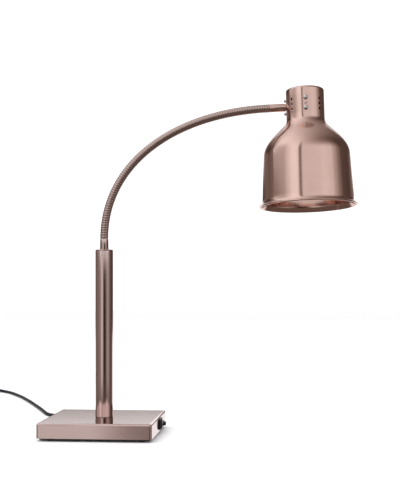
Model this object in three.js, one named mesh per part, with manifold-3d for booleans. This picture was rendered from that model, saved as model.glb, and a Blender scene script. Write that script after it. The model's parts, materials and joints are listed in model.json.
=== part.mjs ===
// Heat lamp warmer: a weighted square base, a round column, a gooseneck arm and a spun bell shade.
// Millimetres, +Z up, and +X points towards the shade. Pieces are placed from the point on the floor
// under the column, and the last step moves that point so that the lamp stands centred on the origin.
import * as THREE from 'three';
import { mergeVertices } from 'three/addons/utils/BufferGeometryUtils.js';
import Module from 'manifold-3d';

const wasm = await Module();
wasm.setup();

// ---- Driving dimensions ----
const GAP = 0.3;                 // clearance between touching pieces
const BASE = { side: 202, skirt: 5.2, top: 31.7, wall: 1.5, cornerR: 4, edgeR: 3.5 };
const PLATE = { side: 195, bottom: 2.9, top: 4.9, cornerR: 5 };
const FOOT = { r: 8.5, stemR: 3, offset: 80 };
const WEIGHT = { x: -4, width: 140, depth: 148, bottom: 5.2, top: 18.2, wellR: 22 };
const PLATE_SCREW = { x: 45, y: -60, r: 2, headR: 4.2, postR: 4 };
const COLUMN = { r: 16, wall: 1.5, bottom: 32, top: 336, capFlange: 2 };
const NIPPLE = { r: 5, bore: 3.2, bottom: 21.5, top: 44 };
const LOWER_FERRULE = { bottomR: 7.95, topR: 7.5, bottom: 336, top: 356 };
const ARM = { r: 7.3, bore: 5.6, riseHandle: 134.3, reachHandle: 178.2, pivots: 6, endStub: 24, gap: 2.2 };
const SPIGOT = { r: 5.1, length: 6 };
const LEAD_R = 2.2;
const HEAD = { x: 364.9, z: 591, pitch: -1.7, roll: -2.3, armReach: 63 };
const SHADE = {
  top: 31, neckR: 34.4, neckEdgeR: 4, neckBottom: -22, sheet: 1, rimBottom: -180, beadR: 1.6, sides: 32,
};
const RIM = { throatR: 81.3, throatZ: -168, outerR: 87.2 };
const VENT = { r: 2.25, spacing: 9.2 };
const ARM_SCREW = { offset: 11.7, r: 1.4, headR: 2.9, headHeight: 3.4 };
const BRACKET = { width: 16, sheet: 1.6, face: 32.1, top: 26.6, bottom: -14 };
const BRACKET_SCREW = { r: 1.9, headR: 4, headHeight: 3.1 };
const RIVET = { r: 1.4, length: 4.6, headR: 2.2, headHeight: 1.4 };
const HOLDER = { r: 17.5, top: 21, bottom: -25, cavityR: 14.2, cavityTop: 8 };
const LAMP = { capR: 13.2, capTop: 3, capBottom: -20.7, maxR: 62.5, maxZ: -118, faceZ: -162, glass: 1.2 };
const SWITCH = { y: 12, z: 18, bezelY: 30, bezelZ: 20, bodyY: 27.2, bodyZ: 18, proud: 1.8, back: 80 };
const ROCKER = {
  pivotX: 99, faceY: 11.4, endR: 12.4, height: 15.8, crown: 3, throwAngle: 10, keel: -4, heelAngle: 7,
};
const RESET = { y: 42, z: 14.5, buttonR: 3.85, bushR: 5.2, proud: 7.4, back: 72, width: 14, height: 12 };
const GLAND = { x: -60, z: 18, mouthY: 131, flangeR: 8, rootR: 6.4, tipR: 4.6 };
const CORD = { r: 3.5, sides: 8 };
const LEAD_SIDES = 6;
const COIL = { x: -458.3, y: 689.4, innerR: 30.5, outerR: 45.5, bottom: 1.4, top: 16.2 };
const TIE = { width: 8, thickness: 1, angle: 65 };
const PLUG = { x: -500.1, rearY: 641, z: 10.4, boot: 25, length: 36, width: 28, height: 20 };
const PIN = { length: 17, spacing: 12.7, width: 6.3, thickness: 1.5, earthR: 2.4 };

// The mains cord from the gland to the coil, lying on the floor after it has dropped from the gland.
const FLOOR = CORD.r + 0.2;
const CORD_ROUTE = [
  [-60, 131.4, 18], [-60, 146, 17], [-61.5, 160, 13.5], [-66, 174, 8.6], [-75, 187, 5],
  [-89, 197.5, FLOOR], [-106, 204, FLOOR], [-124, 209, FLOOR], [-142, 217, FLOOR],
  [-157, 229.5, FLOOR], [-169, 248, FLOOR], [-182, 279, FLOOR], [-204, 332, FLOOR],
  [-230, 391, FLOOR], [-255, 447, FLOOR], [-281, 502, FLOOR], [-305, 551, FLOOR],
  [-330, 597, FLOOR], [-353, 636, FLOOR], [-376, 668, FLOOR],
  [-394, 686.5, FLOOR + 0.4], [-411.2, 702.7, FLOOR + 1],
];

// ---- Materials ----
function finish(color, roughness, metalness) {
  return new THREE.MeshStandardMaterial({ color, roughness, metalness });
}
const COPPER = finish(0xb48a7c, 0.35, 1);
const STEEL = finish(0xb9bbc0, 0.35, 1);
const CAST_IRON = finish(0x3a3b3d, 0.75, 0.6);
const BLACK_PLATE = finish(0x17171a, 0.6, 0.3);
const RUBBER = finish(0x141416, 0.85, 0);
const BLACK_PLASTIC = finish(0x1a1a1d, 0.45, 0);
const CORD_SHEATH = finish(0x23252e, 0.6, 0);
const LEAD_SLEEVE = finish(0xd8cdb8, 0.8, 0);
const NICKEL = finish(0xd5d6da, 0.2, 1);
const BRASS = finish(0xc9a75a, 0.35, 1);
const PORCELAIN = finish(0xf1ede4, 0.3, 0);
const LAMP_GLASS = finish(0xe9e4de, 0.15, 0);
const BLOCK_PLASTIC = finish(0xe8e6df, 0.6, 0);

// ---- Geometry helpers ----
const Z_AXIS = new THREE.Vector3(0, 0, 1);

function solid(geometry) {
  const bare = geometry.clone();
  bare.deleteAttribute('normal');
  bare.deleteAttribute('uv');
  const merged = mergeVertices(bare, 1e-4);
  return new wasm.Manifold(new wasm.Mesh({
    numProp: 3,
    vertProperties: new Float32Array(merged.attributes.position.array),
    triVerts: new Uint32Array(merged.index.array),
  }));
}

function surface(manifold) {
  const mesh = manifold.getMesh();
  const geometry = new THREE.BufferGeometry();
  geometry.setAttribute('position', new THREE.BufferAttribute(new Float32Array(mesh.vertProperties), 3));
  geometry.setIndex(new THREE.BufferAttribute(new Uint32Array(mesh.triVerts), 1));
  geometry.computeVertexNormals();
  return geometry;
}

function cut(geometry, tools) {
  return surface(tools.reduce((body, tool) => body.subtract(solid(tool)), solid(geometry)));
}

function join(geometry, additions) {
  return surface(additions.reduce((body, addition) => body.add(solid(addition)), solid(geometry)));
}

// A turned piece: profile points are (radius, height) and the axis becomes +Z.
function turned(profile, segments = 20) {
  const points = profile.map(([r, z]) => new THREE.Vector2(r, z));
  return new THREE.LatheGeometry(points, segments).rotateX(Math.PI / 2);
}

function rod(r, z0, z1, segments = 16) {
  const geometry = new THREE.CylinderGeometry(r, r, z1 - z0, segments);
  return geometry.rotateX(Math.PI / 2).translate(0, 0, (z0 + z1) / 2);
}

function ring(outerR, innerR, z0, z1, segments = 20) {
  return turned([[innerR, z0], [outerR, z0], [outerR, z1], [innerR, z1], [innerR, z0]], segments);
}

function block(x0, x1, y0, y1, z0, z1) {
  const geometry = new THREE.BoxGeometry(x1 - x0, y1 - y0, z1 - z0);
  return geometry.translate((x0 + x1) / 2, (y0 + y1) / 2, (z0 + z1) / 2);
}

// Turns a piece made along +Z to point along a direction, then moves it to a point.
function aim(geometry, direction, origin) {
  const turn = new THREE.Quaternion().setFromUnitVectors(Z_AXIS, new THREE.Vector3(...direction).normalize());
  return geometry.applyQuaternion(turn).translate(...origin);
}

function roundedSquare(width, depth, r) {
  const shape = new THREE.Shape();
  const x = width / 2 - r;
  const y = depth / 2 - r;
  shape.absarc(x, y, r, 0, Math.PI / 2);
  shape.absarc(-x, y, r, Math.PI / 2, Math.PI);
  shape.absarc(-x, -y, r, Math.PI, 1.5 * Math.PI);
  shape.absarc(x, -y, r, 1.5 * Math.PI, 2 * Math.PI);
  return shape;
}

function slab(shape, z0, z1, curveSegments = 3) {
  return new THREE.ExtrudeGeometry(shape, { depth: z1 - z0, bevelEnabled: false, curveSegments })
    .translate(0, 0, z0);
}

// A slab whose top and bottom edges are rounded inwards; z0 and z1 are its outer faces.
function softSlab(shape, z0, z1, edgeR, bevelSegments) {
  const options = {
    depth: z1 - z0 - 2 * edgeR, curveSegments: 2,
    bevelThickness: edgeR, bevelSize: edgeR, bevelOffset: -edgeR, bevelSegments,
  };
  return new THREE.ExtrudeGeometry(shape, options).translate(0, 0, z0 + edgeR);
}

function hexNut(acrossFlats, bore, z0, z1) {
  const shape = new THREE.Shape();
  const corner = acrossFlats / Math.sqrt(3);
  for (let i = 0; i < 6; i += 1) {
    const angle = i * Math.PI / 3;
    const place = i === 0 ? 'moveTo' : 'lineTo';
    shape[place](corner * Math.cos(angle), corner * Math.sin(angle));
  }
  const hole = new THREE.Path();
  hole.absarc(0, 0, bore, 0, 2 * Math.PI, true);
  shape.holes.push(hole);
  return slab(shape, z0, z1, 8);
}

function circleSection(r, bore) {
  const shape = new THREE.Shape();
  shape.absarc(0, 0, r, 0, 2 * Math.PI);
  if (bore) {
    const hole = new THREE.Path();
    hole.absarc(0, 0, bore, 0, 2 * Math.PI, true);
    shape.holes.push(hole);
  }
  return shape;
}

function sweep(section, curve, steps, sides) {
  return new THREE.ExtrudeGeometry(section, { extrudePath: curve, steps, curveSegments: sides / 2 });
}

const smoothCurve = (points) => new THREE.CatmullRomCurve3(points.map((p) => new THREE.Vector3(...p)));

// A pan-head screw or rivet along +Z: the shank runs down from 0 and the head stands up from 0.
function panHead(shankR, shankLength, headR, headHeight) {
  return turned([
    [0, -shankLength], [shankR, -shankLength], [shankR, 0], [headR, 0], [headR, headHeight * 0.4],
    [headR * 0.75, headHeight], [0, headHeight],
  ], 12);
}

// ---- Assembly ----
const lamp = new THREE.Group();
const stand = new THREE.Group();
const cordSet = new THREE.Group();
lamp.add(stand, cordSet);

function add(name, geometry, material, parent = stand) {
  const mesh = new THREE.Mesh(geometry, material);
  mesh.name = name;
  parent.add(mesh);
}

// ---- Base ----
const faceX = BASE.side / 2;
const ceiling = BASE.top - BASE.wall;
const plateScrewSpots = [[PLATE_SCREW.x, PLATE_SCREW.y], [2 * WEIGHT.x - PLATE_SCREW.x, -PLATE_SCREW.y]];

function copiesAt(spots, geometry) {
  return spots.map(([x, y]) => geometry.clone().translate(x, y, 0));
}
const atPlateScrews = (geometry) => copiesAt(plateScrewSpots, geometry);

function baseCover() {
  const below = BASE.skirt - 2 * BASE.edgeR;
  const outer = softSlab(roundedSquare(BASE.side, BASE.side, BASE.cornerR), below, BASE.top, BASE.edgeR, 3);
  const inside = BASE.side - 2 * BASE.wall;
  const innerEdgeR = BASE.edgeR - BASE.wall;
  const innerCornerR = BASE.cornerR - BASE.wall;
  const cavity = softSlab(roundedSquare(inside, inside, innerCornerR), below, ceiling, innerEdgeR, 2);
  const underSkirt = block(-faceX - 1, faceX + 1, -faceX - 1, faceX + 1, below - 1, BASE.skirt);
  const shell = cut(outer, [cavity, underSkirt]);
  const posts = atPlateScrews(rod(PLATE_SCREW.postR, WEIGHT.top + GAP, ceiling + 0.5));
  const wallCut = (y0, y1, z0, z1) => block(faceX - BASE.wall - 1, faceX + 1, y0, y1, z0, z1);
  const holes = [
    rod(NIPPLE.r + GAP, ceiling - 1, BASE.top + 1),
    wallCut(
      SWITCH.y - SWITCH.bodyY / 2 - GAP, SWITCH.y + SWITCH.bodyY / 2 + GAP,
      SWITCH.z - SWITCH.bodyZ / 2 - GAP, SWITCH.z + SWITCH.bodyZ / 2 + GAP,
    ),
    aim(rod(RESET.bushR + GAP, -4, 4), [1, 0, 0], [faceX, RESET.y, RESET.z]),
    aim(rod(GLAND.rootR + GAP, -4, 4), [0, 1, 0], [GLAND.x, faceX, GLAND.z]),
    ...atPlateScrews(rod(PLATE_SCREW.r + GAP, WEIGHT.top - 1, ceiling - 2)),
  ];
  return cut(join(shell, posts), holes);
}
add('base_cover', baseCover(), COPPER);

const footSpots = {
  front_left: [-FOOT.offset, -FOOT.offset],
  front_right: [FOOT.offset, -FOOT.offset],
  back_left: [-FOOT.offset, FOOT.offset],
  back_right: [FOOT.offset, FOOT.offset],
};

function bottomPlate() {
  const sheet = slab(roundedSquare(PLATE.side, PLATE.side, PLATE.cornerR), PLATE.bottom, PLATE.top);
  const stemHoles = copiesAt(Object.values(footSpots), rod(FOOT.stemR + GAP, 0, 9, 12));
  return cut(sheet, [...stemHoles, ...atPlateScrews(rod(PLATE_SCREW.r + GAP, 0, 9, 12))]);
}
add('bottom_plate', bottomPlate(), BLACK_PLATE);

// A rubber foot: a pad under the plate, a stem through it and a barb above it.
function foot() {
  const pad = PLATE.bottom - GAP;
  const barb = PLATE.top + GAP;
  return turned([
    [0, 0], [FOOT.r - 0.6, 0], [FOOT.r, 0.6], [FOOT.r, pad], [FOOT.stemR, pad], [FOOT.stemR, barb],
    [FOOT.stemR + 1.2, barb], [FOOT.stemR - 0.8, barb + 3], [0, barb + 3],
  ], 16);
}
for (const [place, [x, y]] of Object.entries(footSpots)) {
  add(`foot_${place}`, foot().translate(x, y, 0), RUBBER);
}

function counterweight() {
  const casting = softSlab(roundedSquare(WEIGHT.width, WEIGHT.depth, 8), WEIGHT.bottom, WEIGHT.top, 1, 1)
    .translate(WEIGHT.x, 0, 0);
  return cut(casting, [rod(WEIGHT.wellR, 0, 30, 24), ...atPlateScrews(rod(PLATE_SCREW.r + GAP, 0, 30, 12))]);
}
add('counterweight', counterweight(), CAST_IRON);

plateScrewSpots.forEach(([x, y], i) => {
  const length = ceiling - 3 - (PLATE.bottom - GAP);
  const screw = panHead(PLATE_SCREW.r, length, PLATE_SCREW.headR, 1.8);
  add(`plate_screw_${i + 1}`, aim(screw, [0, 0, -1], [x, y, PLATE.bottom - GAP]), NICKEL);
});

// ---- Column ----
const columnBore = COLUMN.r - COLUMN.wall;
const columnEnd = COLUMN.top - COLUMN.capFlange - GAP;
const column = ring(COLUMN.r, columnBore, COLUMN.bottom, columnEnd, 28);
const weldedFoot = ring(columnBore + 0.5, NIPPLE.r + GAP, COLUMN.bottom, COLUMN.bottom + 10, 28);
add('column', join(column, [weldedFoot]), COPPER);
add('column_nipple', ring(NIPPLE.r, NIPPLE.bore, NIPPLE.bottom, NIPPLE.top), BRASS);

// A flanged nut under the cover: a wide disc against the sheet and a hexagon below it.
function columnNut() {
  const flangeBottom = ceiling - GAP - 1.6;
  const flange = ring(20, NIPPLE.r + GAP, flangeBottom, ceiling - GAP);
  return join(flange, [hexNut(17, NIPPLE.r + GAP, flangeBottom - 5, flangeBottom + 0.5)]);
}
add('column_nut', columnNut(), STEEL);

function columnCap() {
  const plugR = columnBore - GAP;
  const under = COLUMN.top - COLUMN.capFlange;
  const bore = NIPPLE.r + GAP;
  return turned([
    [bore, under - 8], [plugR, under - 8], [plugR, under], [COLUMN.r, under],
    [COLUMN.r, COLUMN.top - 0.5], [COLUMN.r - 0.5, COLUMN.top], [bore, COLUMN.top], [bore, under - 8],
  ], 28);
}
add('column_cap', columnCap(), COPPER);

function lowerFerrule() {
  const { bottomR, topR, bottom, top } = LOWER_FERRULE;
  const low = bottom + GAP;
  const high = top - GAP;
  return turned([
    [NIPPLE.bore, bottom - 9], [NIPPLE.r, bottom - 9], [NIPPLE.r, low], [bottomR, low], [topR, high],
    [SPIGOT.r, high], [SPIGOT.r, top + SPIGOT.length], [NIPPLE.bore, top + SPIGOT.length],
    [NIPPLE.bore, bottom - 9],
  ]);
}
add('ferrule_lower', lowerFerrule(), COPPER);

// ---- Gooseneck ----
// Its centre line leaves the ferrule straight up and reaches the head along the head's own pitch.
const pitch = THREE.MathUtils.degToRad(HEAD.pitch);
const headX = new THREE.Vector3(Math.cos(pitch), 0, -Math.sin(pitch));
const armEnd = new THREE.Vector3(HEAD.x, 0, HEAD.z).addScaledVector(headX, -HEAD.armReach);
const armLine = new THREE.CubicBezierCurve3(
  new THREE.Vector3(0, 0, LOWER_FERRULE.top),
  new THREE.Vector3(0, 0, LOWER_FERRULE.top + ARM.riseHandle),
  armEnd.clone().addScaledVector(headX, -ARM.reachHandle),
  armEnd,
);
armLine.arcLengthDivisions = 800;
const armLength = armLine.getLength();
const pivotStep = (armLength - 2 * ARM.endStub) / (ARM.pivots - 1);

class ArmStretch extends THREE.Curve {
  constructor(from, to) {
    super();
    this.from = from / armLength;
    this.to = to / armLength;
  }

  getPoint(t, target) {
    return armLine.getPointAt(this.from + t * (this.to - this.from), target);
  }
}

// Link 0 stays on the column, the last one on the head, and a pivot lies between each two.
for (let link = 0; link <= ARM.pivots; link += 1) {
  const first = link === 0;
  const last = link === ARM.pivots;
  const from = first ? 0 : ARM.endStub + (link - 1) * pivotStep + ARM.gap / 2;
  const to = last ? armLength - GAP : ARM.endStub + link * pivotStep - ARM.gap / 2;
  const steps = Math.max(2, Math.round((to - from) / 16));
  const hose = sweep(circleSection(ARM.r, ARM.bore), new ArmStretch(from, to), steps, 12);
  add(`gooseneck_${link}`, hose, COPPER);
  if (!first && !last) {
    const core = sweep(circleSection(LEAD_R), new ArmStretch(from, to), steps, LEAD_SIDES);
    add(`lead_neck_${link}`, core, LEAD_SLEEVE);
  }
}

// ---- Electrical parts in the base ----
function switchHousing() {
  const { y, z, bezelY, bezelZ, bodyY, bodyZ, proud, back } = SWITCH;
  const bezel = softSlab(roundedSquare(bezelZ, bezelY, 1.5), -0.6, proud, 0.6, 1);
  const framed = aim(bezel, [1, 0, 0], [faceX + GAP + 0.6, y, z]);
  const body = block(back, faceX + 1, y - bodyY / 2, y + bodyY / 2, z - bodyZ / 2, z + bodyZ / 2);
  const pocketY = ROCKER.endR + 0.4;
  const pocketZ = ROCKER.height / 2 + 0.3;
  const pocket = block(ROCKER.pivotX - 9, faceX + 9, y - pocketY, y + pocketY, z - pocketZ, z + pocketZ);
  return cut(join(framed, [body]), [pocket]);
}
add('switch_housing', switchHousing(), BLACK_PLASTIC);

// The rocker rests with its front end out: two flat faces that meet in a shallow V, and round ends.
function rocker() {
  const throwAngle = THREE.MathUtils.degToRad(ROCKER.throwAngle);
  const heelAngle = THREE.MathUtils.degToRad(ROCKER.heelAngle);
  const tip = ROCKER.crown + ROCKER.faceY * Math.tan(throwAngle);
  const tipAngle = Math.atan2(tip, ROCKER.faceY);
  const tipR = Math.hypot(ROCKER.faceY, tip);
  const shape = new THREE.Shape();
  shape.moveTo(0, ROCKER.crown);
  shape.absarc(0, 0, tipR, Math.PI - tipAngle, Math.PI + heelAngle, false);
  shape.lineTo(0, ROCKER.keel);
  shape.absarc(0, 0, tipR, -heelAngle, tipAngle, false);
  const key = slab(shape, -ROCKER.height / 2, ROCKER.height / 2, 6).rotateZ(throwAngle - Math.PI / 2);
  return key.translate(ROCKER.pivotX, SWITCH.y, SWITCH.z);
}
add('switch_rocker', rocker(), BLACK_PLASTIC);

// Overload breaker: a body behind the wall, a threaded bush through it, a nut outside and its button.
function resetBody() {
  const { y, z, back, width, height, bushR, buttonR } = RESET;
  const wallInside = faceX - BASE.wall - GAP;
  const body = block(back, wallInside, y - width / 2, y + width / 2, z - height / 2, z + height / 2);
  const bush = aim(rod(bushR, 0, faceX + 3.4 - wallInside + 1), [1, 0, 0], [wallInside - 1, y, z]);
  return cut(join(body, [bush]), [aim(rod(buttonR + GAP, 0, 30), [1, 0, 0], [faceX - 10, y, z])]);
}
add('reset_body', resetBody(), BLACK_PLASTIC);
const resetNut = hexNut(13, RESET.bushR + GAP, 0, 2.2);
add('reset_nut', aim(resetNut, [1, 0, 0], [faceX + GAP, RESET.y, RESET.z]), NICKEL);
const buttonFront = faceX + RESET.proud;
const resetButton = turned([
  [0, faceX - 7], [RESET.buttonR, faceX - 7], [RESET.buttonR, buttonFront - 0.8],
  [RESET.buttonR - 0.8, buttonFront], [0, buttonFront],
], 20);
add('reset_button', aim(resetButton, [1, 0, 0], [0, RESET.y, RESET.z]), BLACK_PLASTIC);

const TERMINAL = { x0: -54, x1: -26, y0: 32, y1: 50, top: 28.5 };
function terminalBlock() {
  const { x0, x1, y0, y1, top } = TERMINAL;
  const housing = block(x0, x1, y0, y1, WEIGHT.top + GAP, top);
  const ways = [0.2, 0.5, 0.8].map((share) => x0 + share * (x1 - x0));
  const screwWells = ways.map((x) => rod(2, top - 3, top + 1, 12).translate(x, (y0 + y1) / 2, 0));
  return cut(housing, screwWells);
}
add('terminal_block', terminalBlock(), BLOCK_PLASTIC);

function lead(points, r, steps) {
  return sweep(circleSection(r), smoothCurve(points), steps, LEAD_SIDES);
}
const leadZ = 23.6;
const supplyRoute = [
  [-60, 86.4, 18], [-60, 83.5, 18], [-62.5, 74.5, 22.6], [-65.5, 64, leadZ], [-64, 51, leadZ],
  [-60, 43.4, leadZ], [-57, 41.3, leadZ], [-54.6, 41, leadZ],
];
add('lead_supply', lead(supplyRoute, CORD.r, 10), CORD_SHEATH);
const switchRoute = [
  [-25.6, 41, leadZ], [-8, 38, leadZ], [30, 33, leadZ], [58, 24, 21.8],
  [71, 13.8, 18.8], [76.5, 12, 18], [SWITCH.back - GAP, 12, 18],
];
add('lead_switch', lead(switchRoute, 1.8, 14), LEAD_SLEEVE);
const firstPivotZ = LOWER_FERRULE.top + ARM.endStub;
const columnRoute = [
  [-33, 31.4, leadZ], [-32.4, 27.5, leadZ], [-24, 18, 23], [-14.6, 10, 19.6], [-8.8, 6, 12.6],
  [-3.8, 2.5, 9.4], [-0.5, 0.4, 12], [0, 0, 19],
  [0, 0, 30], [0, 0, 120], [0, 0, 240], [0, 0, LOWER_FERRULE.top], [0.4, 0, firstPivotZ - ARM.gap],
];
add('lead_column', lead(columnRoute, LEAD_R, 30), LEAD_SLEEVE);

// ---- Mains cord, its gland, stored coil, tie and plug ----
function gland() {
  const { mouthY, flangeR, rootR, tipR, x, z } = GLAND;
  return aim(turned([
    [0, 87], [flangeR - 1, 87], [flangeR - 1, faceX - BASE.wall - GAP], [rootR, faceX - BASE.wall - GAP],
    [rootR, faceX + GAP], [flangeR, faceX + GAP], [flangeR, faceX + 2.4], [rootR, faceX + 3.2],
    [tipR, mouthY], [0, mouthY],
  ]), [0, 1, 0], [x, 0, z]);
}
add('cable_gland', gland(), RUBBER, cordSet);
const cord = sweep(circleSection(CORD.r), smoothCurve(CORD_ROUTE), 36, CORD.sides);
add('mains_cord', cord, CORD_SHEATH, cordSet);
const coil = ring(COIL.outerR, COIL.innerR, COIL.bottom, COIL.top, 28).translate(COIL.x, COIL.y, 0);
add('cord_coil', coil, CORD_SHEATH, cordSet);

function cordTie() {
  const slack = GAP + 0.1;
  const mid = (COIL.innerR + COIL.outerR) / 2;
  const halfR = (COIL.outerR - COIL.innerR) / 2 + slack + 0.5;
  const outerHalfR = halfR + TIE.thickness;
  const low = COIL.bottom - slack;
  const high = COIL.top + slack;
  const band = block(
    mid - outerHalfR, mid + outerHalfR, -TIE.width / 2, TIE.width / 2,
    low - TIE.thickness + 0.1, high + TIE.thickness,
  );
  const opening = block(mid - halfR, mid + halfR, -TIE.width, TIE.width, low, high);
  return cut(band, [opening]).rotateZ(THREE.MathUtils.degToRad(TIE.angle)).translate(COIL.x, COIL.y, 0);
}
add('cord_tie', cordTie(), RUBBER, cordSet);

const tailRoute = [[PLUG.x, 664, 12.3], [PLUG.x, 653, 11.4], [PLUG.x, PLUG.rearY + GAP, PLUG.z]];
const cordTail = sweep(circleSection(CORD.r), smoothCurve(tailRoute), 3, CORD.sides);
add('cord_tail', cordTail, CORD_SHEATH, cordSet);

// The plug lies with its pins pointing along -Y.
const plugFrontY = PLUG.rearY - PLUG.boot - PLUG.length;
function plugBody() {
  const boot = aim(turned([
    [0, 0], [CORD.r + 1, 0], [CORD.r + 3.4, PLUG.boot + 1], [0, PLUG.boot + 1],
  ], 16), [0, -1, 0], [0, PLUG.rearY, 0]);
  const outline = new THREE.Shape();
  const half = PLUG.width / 2;
  outline.moveTo(-half, 0);
  outline.lineTo(half, 0);
  outline.lineTo(half, PLUG.length * 0.45);
  outline.quadraticCurveTo(half * 0.85, PLUG.length * 0.9, half * 0.45, PLUG.length);
  outline.lineTo(-half * 0.45, PLUG.length);
  outline.quadraticCurveTo(-half * 0.85, PLUG.length * 0.9, -half, PLUG.length * 0.45);
  const grip = softSlab(outline, -PLUG.height / 2, PLUG.height / 2, 2, 2).translate(0, plugFrontY, 0);
  return join(grip, [boot]).translate(PLUG.x, 0, PLUG.z);
}
add('plug_body', plugBody(), BLACK_PLASTIC, cordSet);

function blade(side) {
  const x = PLUG.x + side * PIN.spacing / 2;
  const z = PLUG.z + 2;
  const front = plugFrontY - GAP - PIN.length;
  return new THREE.BoxGeometry(PIN.thickness, PIN.length, PIN.width).translate(x, front + PIN.length / 2, z);
}
add('plug_blade_left', blade(-1), NICKEL, cordSet);
add('plug_blade_right', blade(1), NICKEL, cordSet);
const earthPin = rod(PIN.earthR, GAP, PIN.length + 3, 16);
add('plug_earth_pin', aim(earthPin, [0, -1, 0], [PLUG.x, plugFrontY, PLUG.z - 5]), NICKEL, cordSet);

// ---- Head: its frame has +X along the end of the arm and +Z up the shade's neck ----
const head = new THREE.Group();
head.position.set(HEAD.x, 0, HEAD.z);
head.rotation.set(THREE.MathUtils.degToRad(HEAD.roll), pitch, 0, 'YXZ');
stand.add(head);
const neckInside = SHADE.neckR - SHADE.sheet;

// The bell's outer line, from the middle of the neck's closed top down to the rim.
function bellOutline() {
  const { top, neckR, neckEdgeR, neckBottom } = SHADE;
  const line = new THREE.Path();
  line.moveTo(0, top);
  line.lineTo(neckR - neckEdgeR, top);
  line.absarc(neckR - neckEdgeR, top - neckEdgeR, neckEdgeR, Math.PI / 2, 0, true);
  line.lineTo(neckR, neckBottom);
  line.bezierCurveTo(neckR, neckBottom - 11, 45.9, -40.8, 56, -50.5);
  line.bezierCurveTo(67.5, -61.5, 77, -73, 77.5, -90);
  line.lineTo(RIM.throatR, RIM.throatZ);
  const lip = [RIM.outerR - SHADE.beadR, SHADE.rimBottom + 2.6];
  line.quadraticCurveTo(RIM.throatR + 0.6, SHADE.rimBottom + 5, ...lip);
  return line;
}

// Follows an outline given from top to bottom, and comes back up inside it at the sheet's thickness.
function shell(outline, bendSteps, thickness) {
  const stepsOf = (curve) => (curve.isLineCurve ? 1 : bendSteps);
  const points = outline.curves.flatMap((curve) => curve.getPoints(stepsOf(curve)));
  const distinct = points.filter((p, i) => i === 0 || p.distanceTo(points[i - 1]) > 1e-3);
  const inner = distinct.map((p, i) => {
    const before = distinct[Math.max(i - 1, 0)];
    const after = distinct[Math.min(i + 1, distinct.length - 1)];
    const along = after.clone().sub(before).normalize();
    return [Math.max(0, p.x + along.y * thickness), p.y - along.x * thickness];
  });
  const outer = distinct.map((p) => [p.x, p.y]);
  return { outer, inner };
}

function bellShade() {
  const { outer, inner } = shell(bellOutline(), 4, SHADE.sheet);
  const wall = turned([...inner, ...outer.reverse()], SHADE.sides);
  const bead = new THREE.Path();
  bead.absarc(RIM.outerR - SHADE.beadR, SHADE.rimBottom + SHADE.beadR, SHADE.beadR, 0, 2 * Math.PI);
  const roll = turned(bead.getPoints(4).map((p) => [p.x, p.y]), SHADE.sides);
  const vents = [45, 135, 225, 315].flatMap((azimuth) => [-1, 0, 1].map((row) => {
    const angle = THREE.MathUtils.degToRad(azimuth);
    const direction = [Math.cos(angle), Math.sin(angle), 0];
    return aim(rod(VENT.r, neckInside - 5, SHADE.neckR + 5, 10), direction, [0, 0, row * VENT.spacing]);
  }));
  const sides = [-1, 1];
  const bracketHoles = sides.flatMap((side) => [-1, 1].map((row) => aim(
    rod(BRACKET_SCREW.r + GAP, 20, 40, 10), [0, side, 0], [0, 0, row * VENT.spacing],
  )));
  const rivetHole = aim(rod(RIVET.r + GAP, 20, 40, 8), [0, -1, 0], [0, 0, 0]);
  const armHole = aim(rod(NIPPLE.r + GAP, 20, 40), [-1, 0, 0], [0, 0, 0]);
  const armScrewHoles = sides.map((side) => aim(
    rod(ARM_SCREW.r + GAP, 20, 40, 8), [-1, 0, 0], [0, 0, side * ARM_SCREW.offset],
  ));
  return cut(join(wall, [roll]), [...vents, ...bracketHoles, rivetHole, armHole, ...armScrewHoles]);
}
add('shade', bellShade(), COPPER, head);

function upperFerrule() {
  const neckEnd = -SHADE.neckR - 0.5;
  const armSide = -HEAD.armReach;
  const r = ARM.r - 0.2;
  return aim(turned([
    [LEAD_R + 0.7, armSide - SPIGOT.length], [SPIGOT.r, armSide - SPIGOT.length], [SPIGOT.r, armSide],
    [r - 0.4, armSide], [r, armSide + 0.6], [r, neckEnd], [NIPPLE.r, neckEnd], [NIPPLE.r, -24],
    [LEAD_R + 0.7, -24], [LEAD_R + 0.7, armSide - SPIGOT.length],
  ]), [1, 0, 0], [0, 0, 0]);
}
add('ferrule_upper', upperFerrule(), COPPER, head);

// A flat plate and a nut inside the neck clamp the end of the arm.
function armPlate() {
  const plate = block(-30.6, -28.6, -12.4, 12.4, -16, 16);
  const bore = aim(rod(NIPPLE.r + GAP, -2, 40), [-1, 0, 0], [0, 0, 0]);
  const screwHoles = [-1, 1].map((side) => aim(
    rod(ARM_SCREW.r + GAP, -2, 40, 8), [-1, 0, 0], [0, 0, side * ARM_SCREW.offset],
  ));
  return cut(plate, [bore, ...screwHoles]);
}
add('arm_plate', armPlate(), STEEL, head);
add('arm_nut', aim(hexNut(16, NIPPLE.r + GAP, 24.3, 28.3), [-1, 0, 0], [0, 0, 0]), STEEL, head);
for (const [place, side] of [['upper', 1], ['lower', -1]]) {
  const screw = panHead(ARM_SCREW.r, 7.5, ARM_SCREW.headR, ARM_SCREW.headHeight);
  const seat = [-SHADE.neckR - GAP, 0, side * ARM_SCREW.offset];
  add(`arm_screw_${place}`, aim(screw, [-1, 0, 0], seat), NICKEL, head);
}

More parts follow.
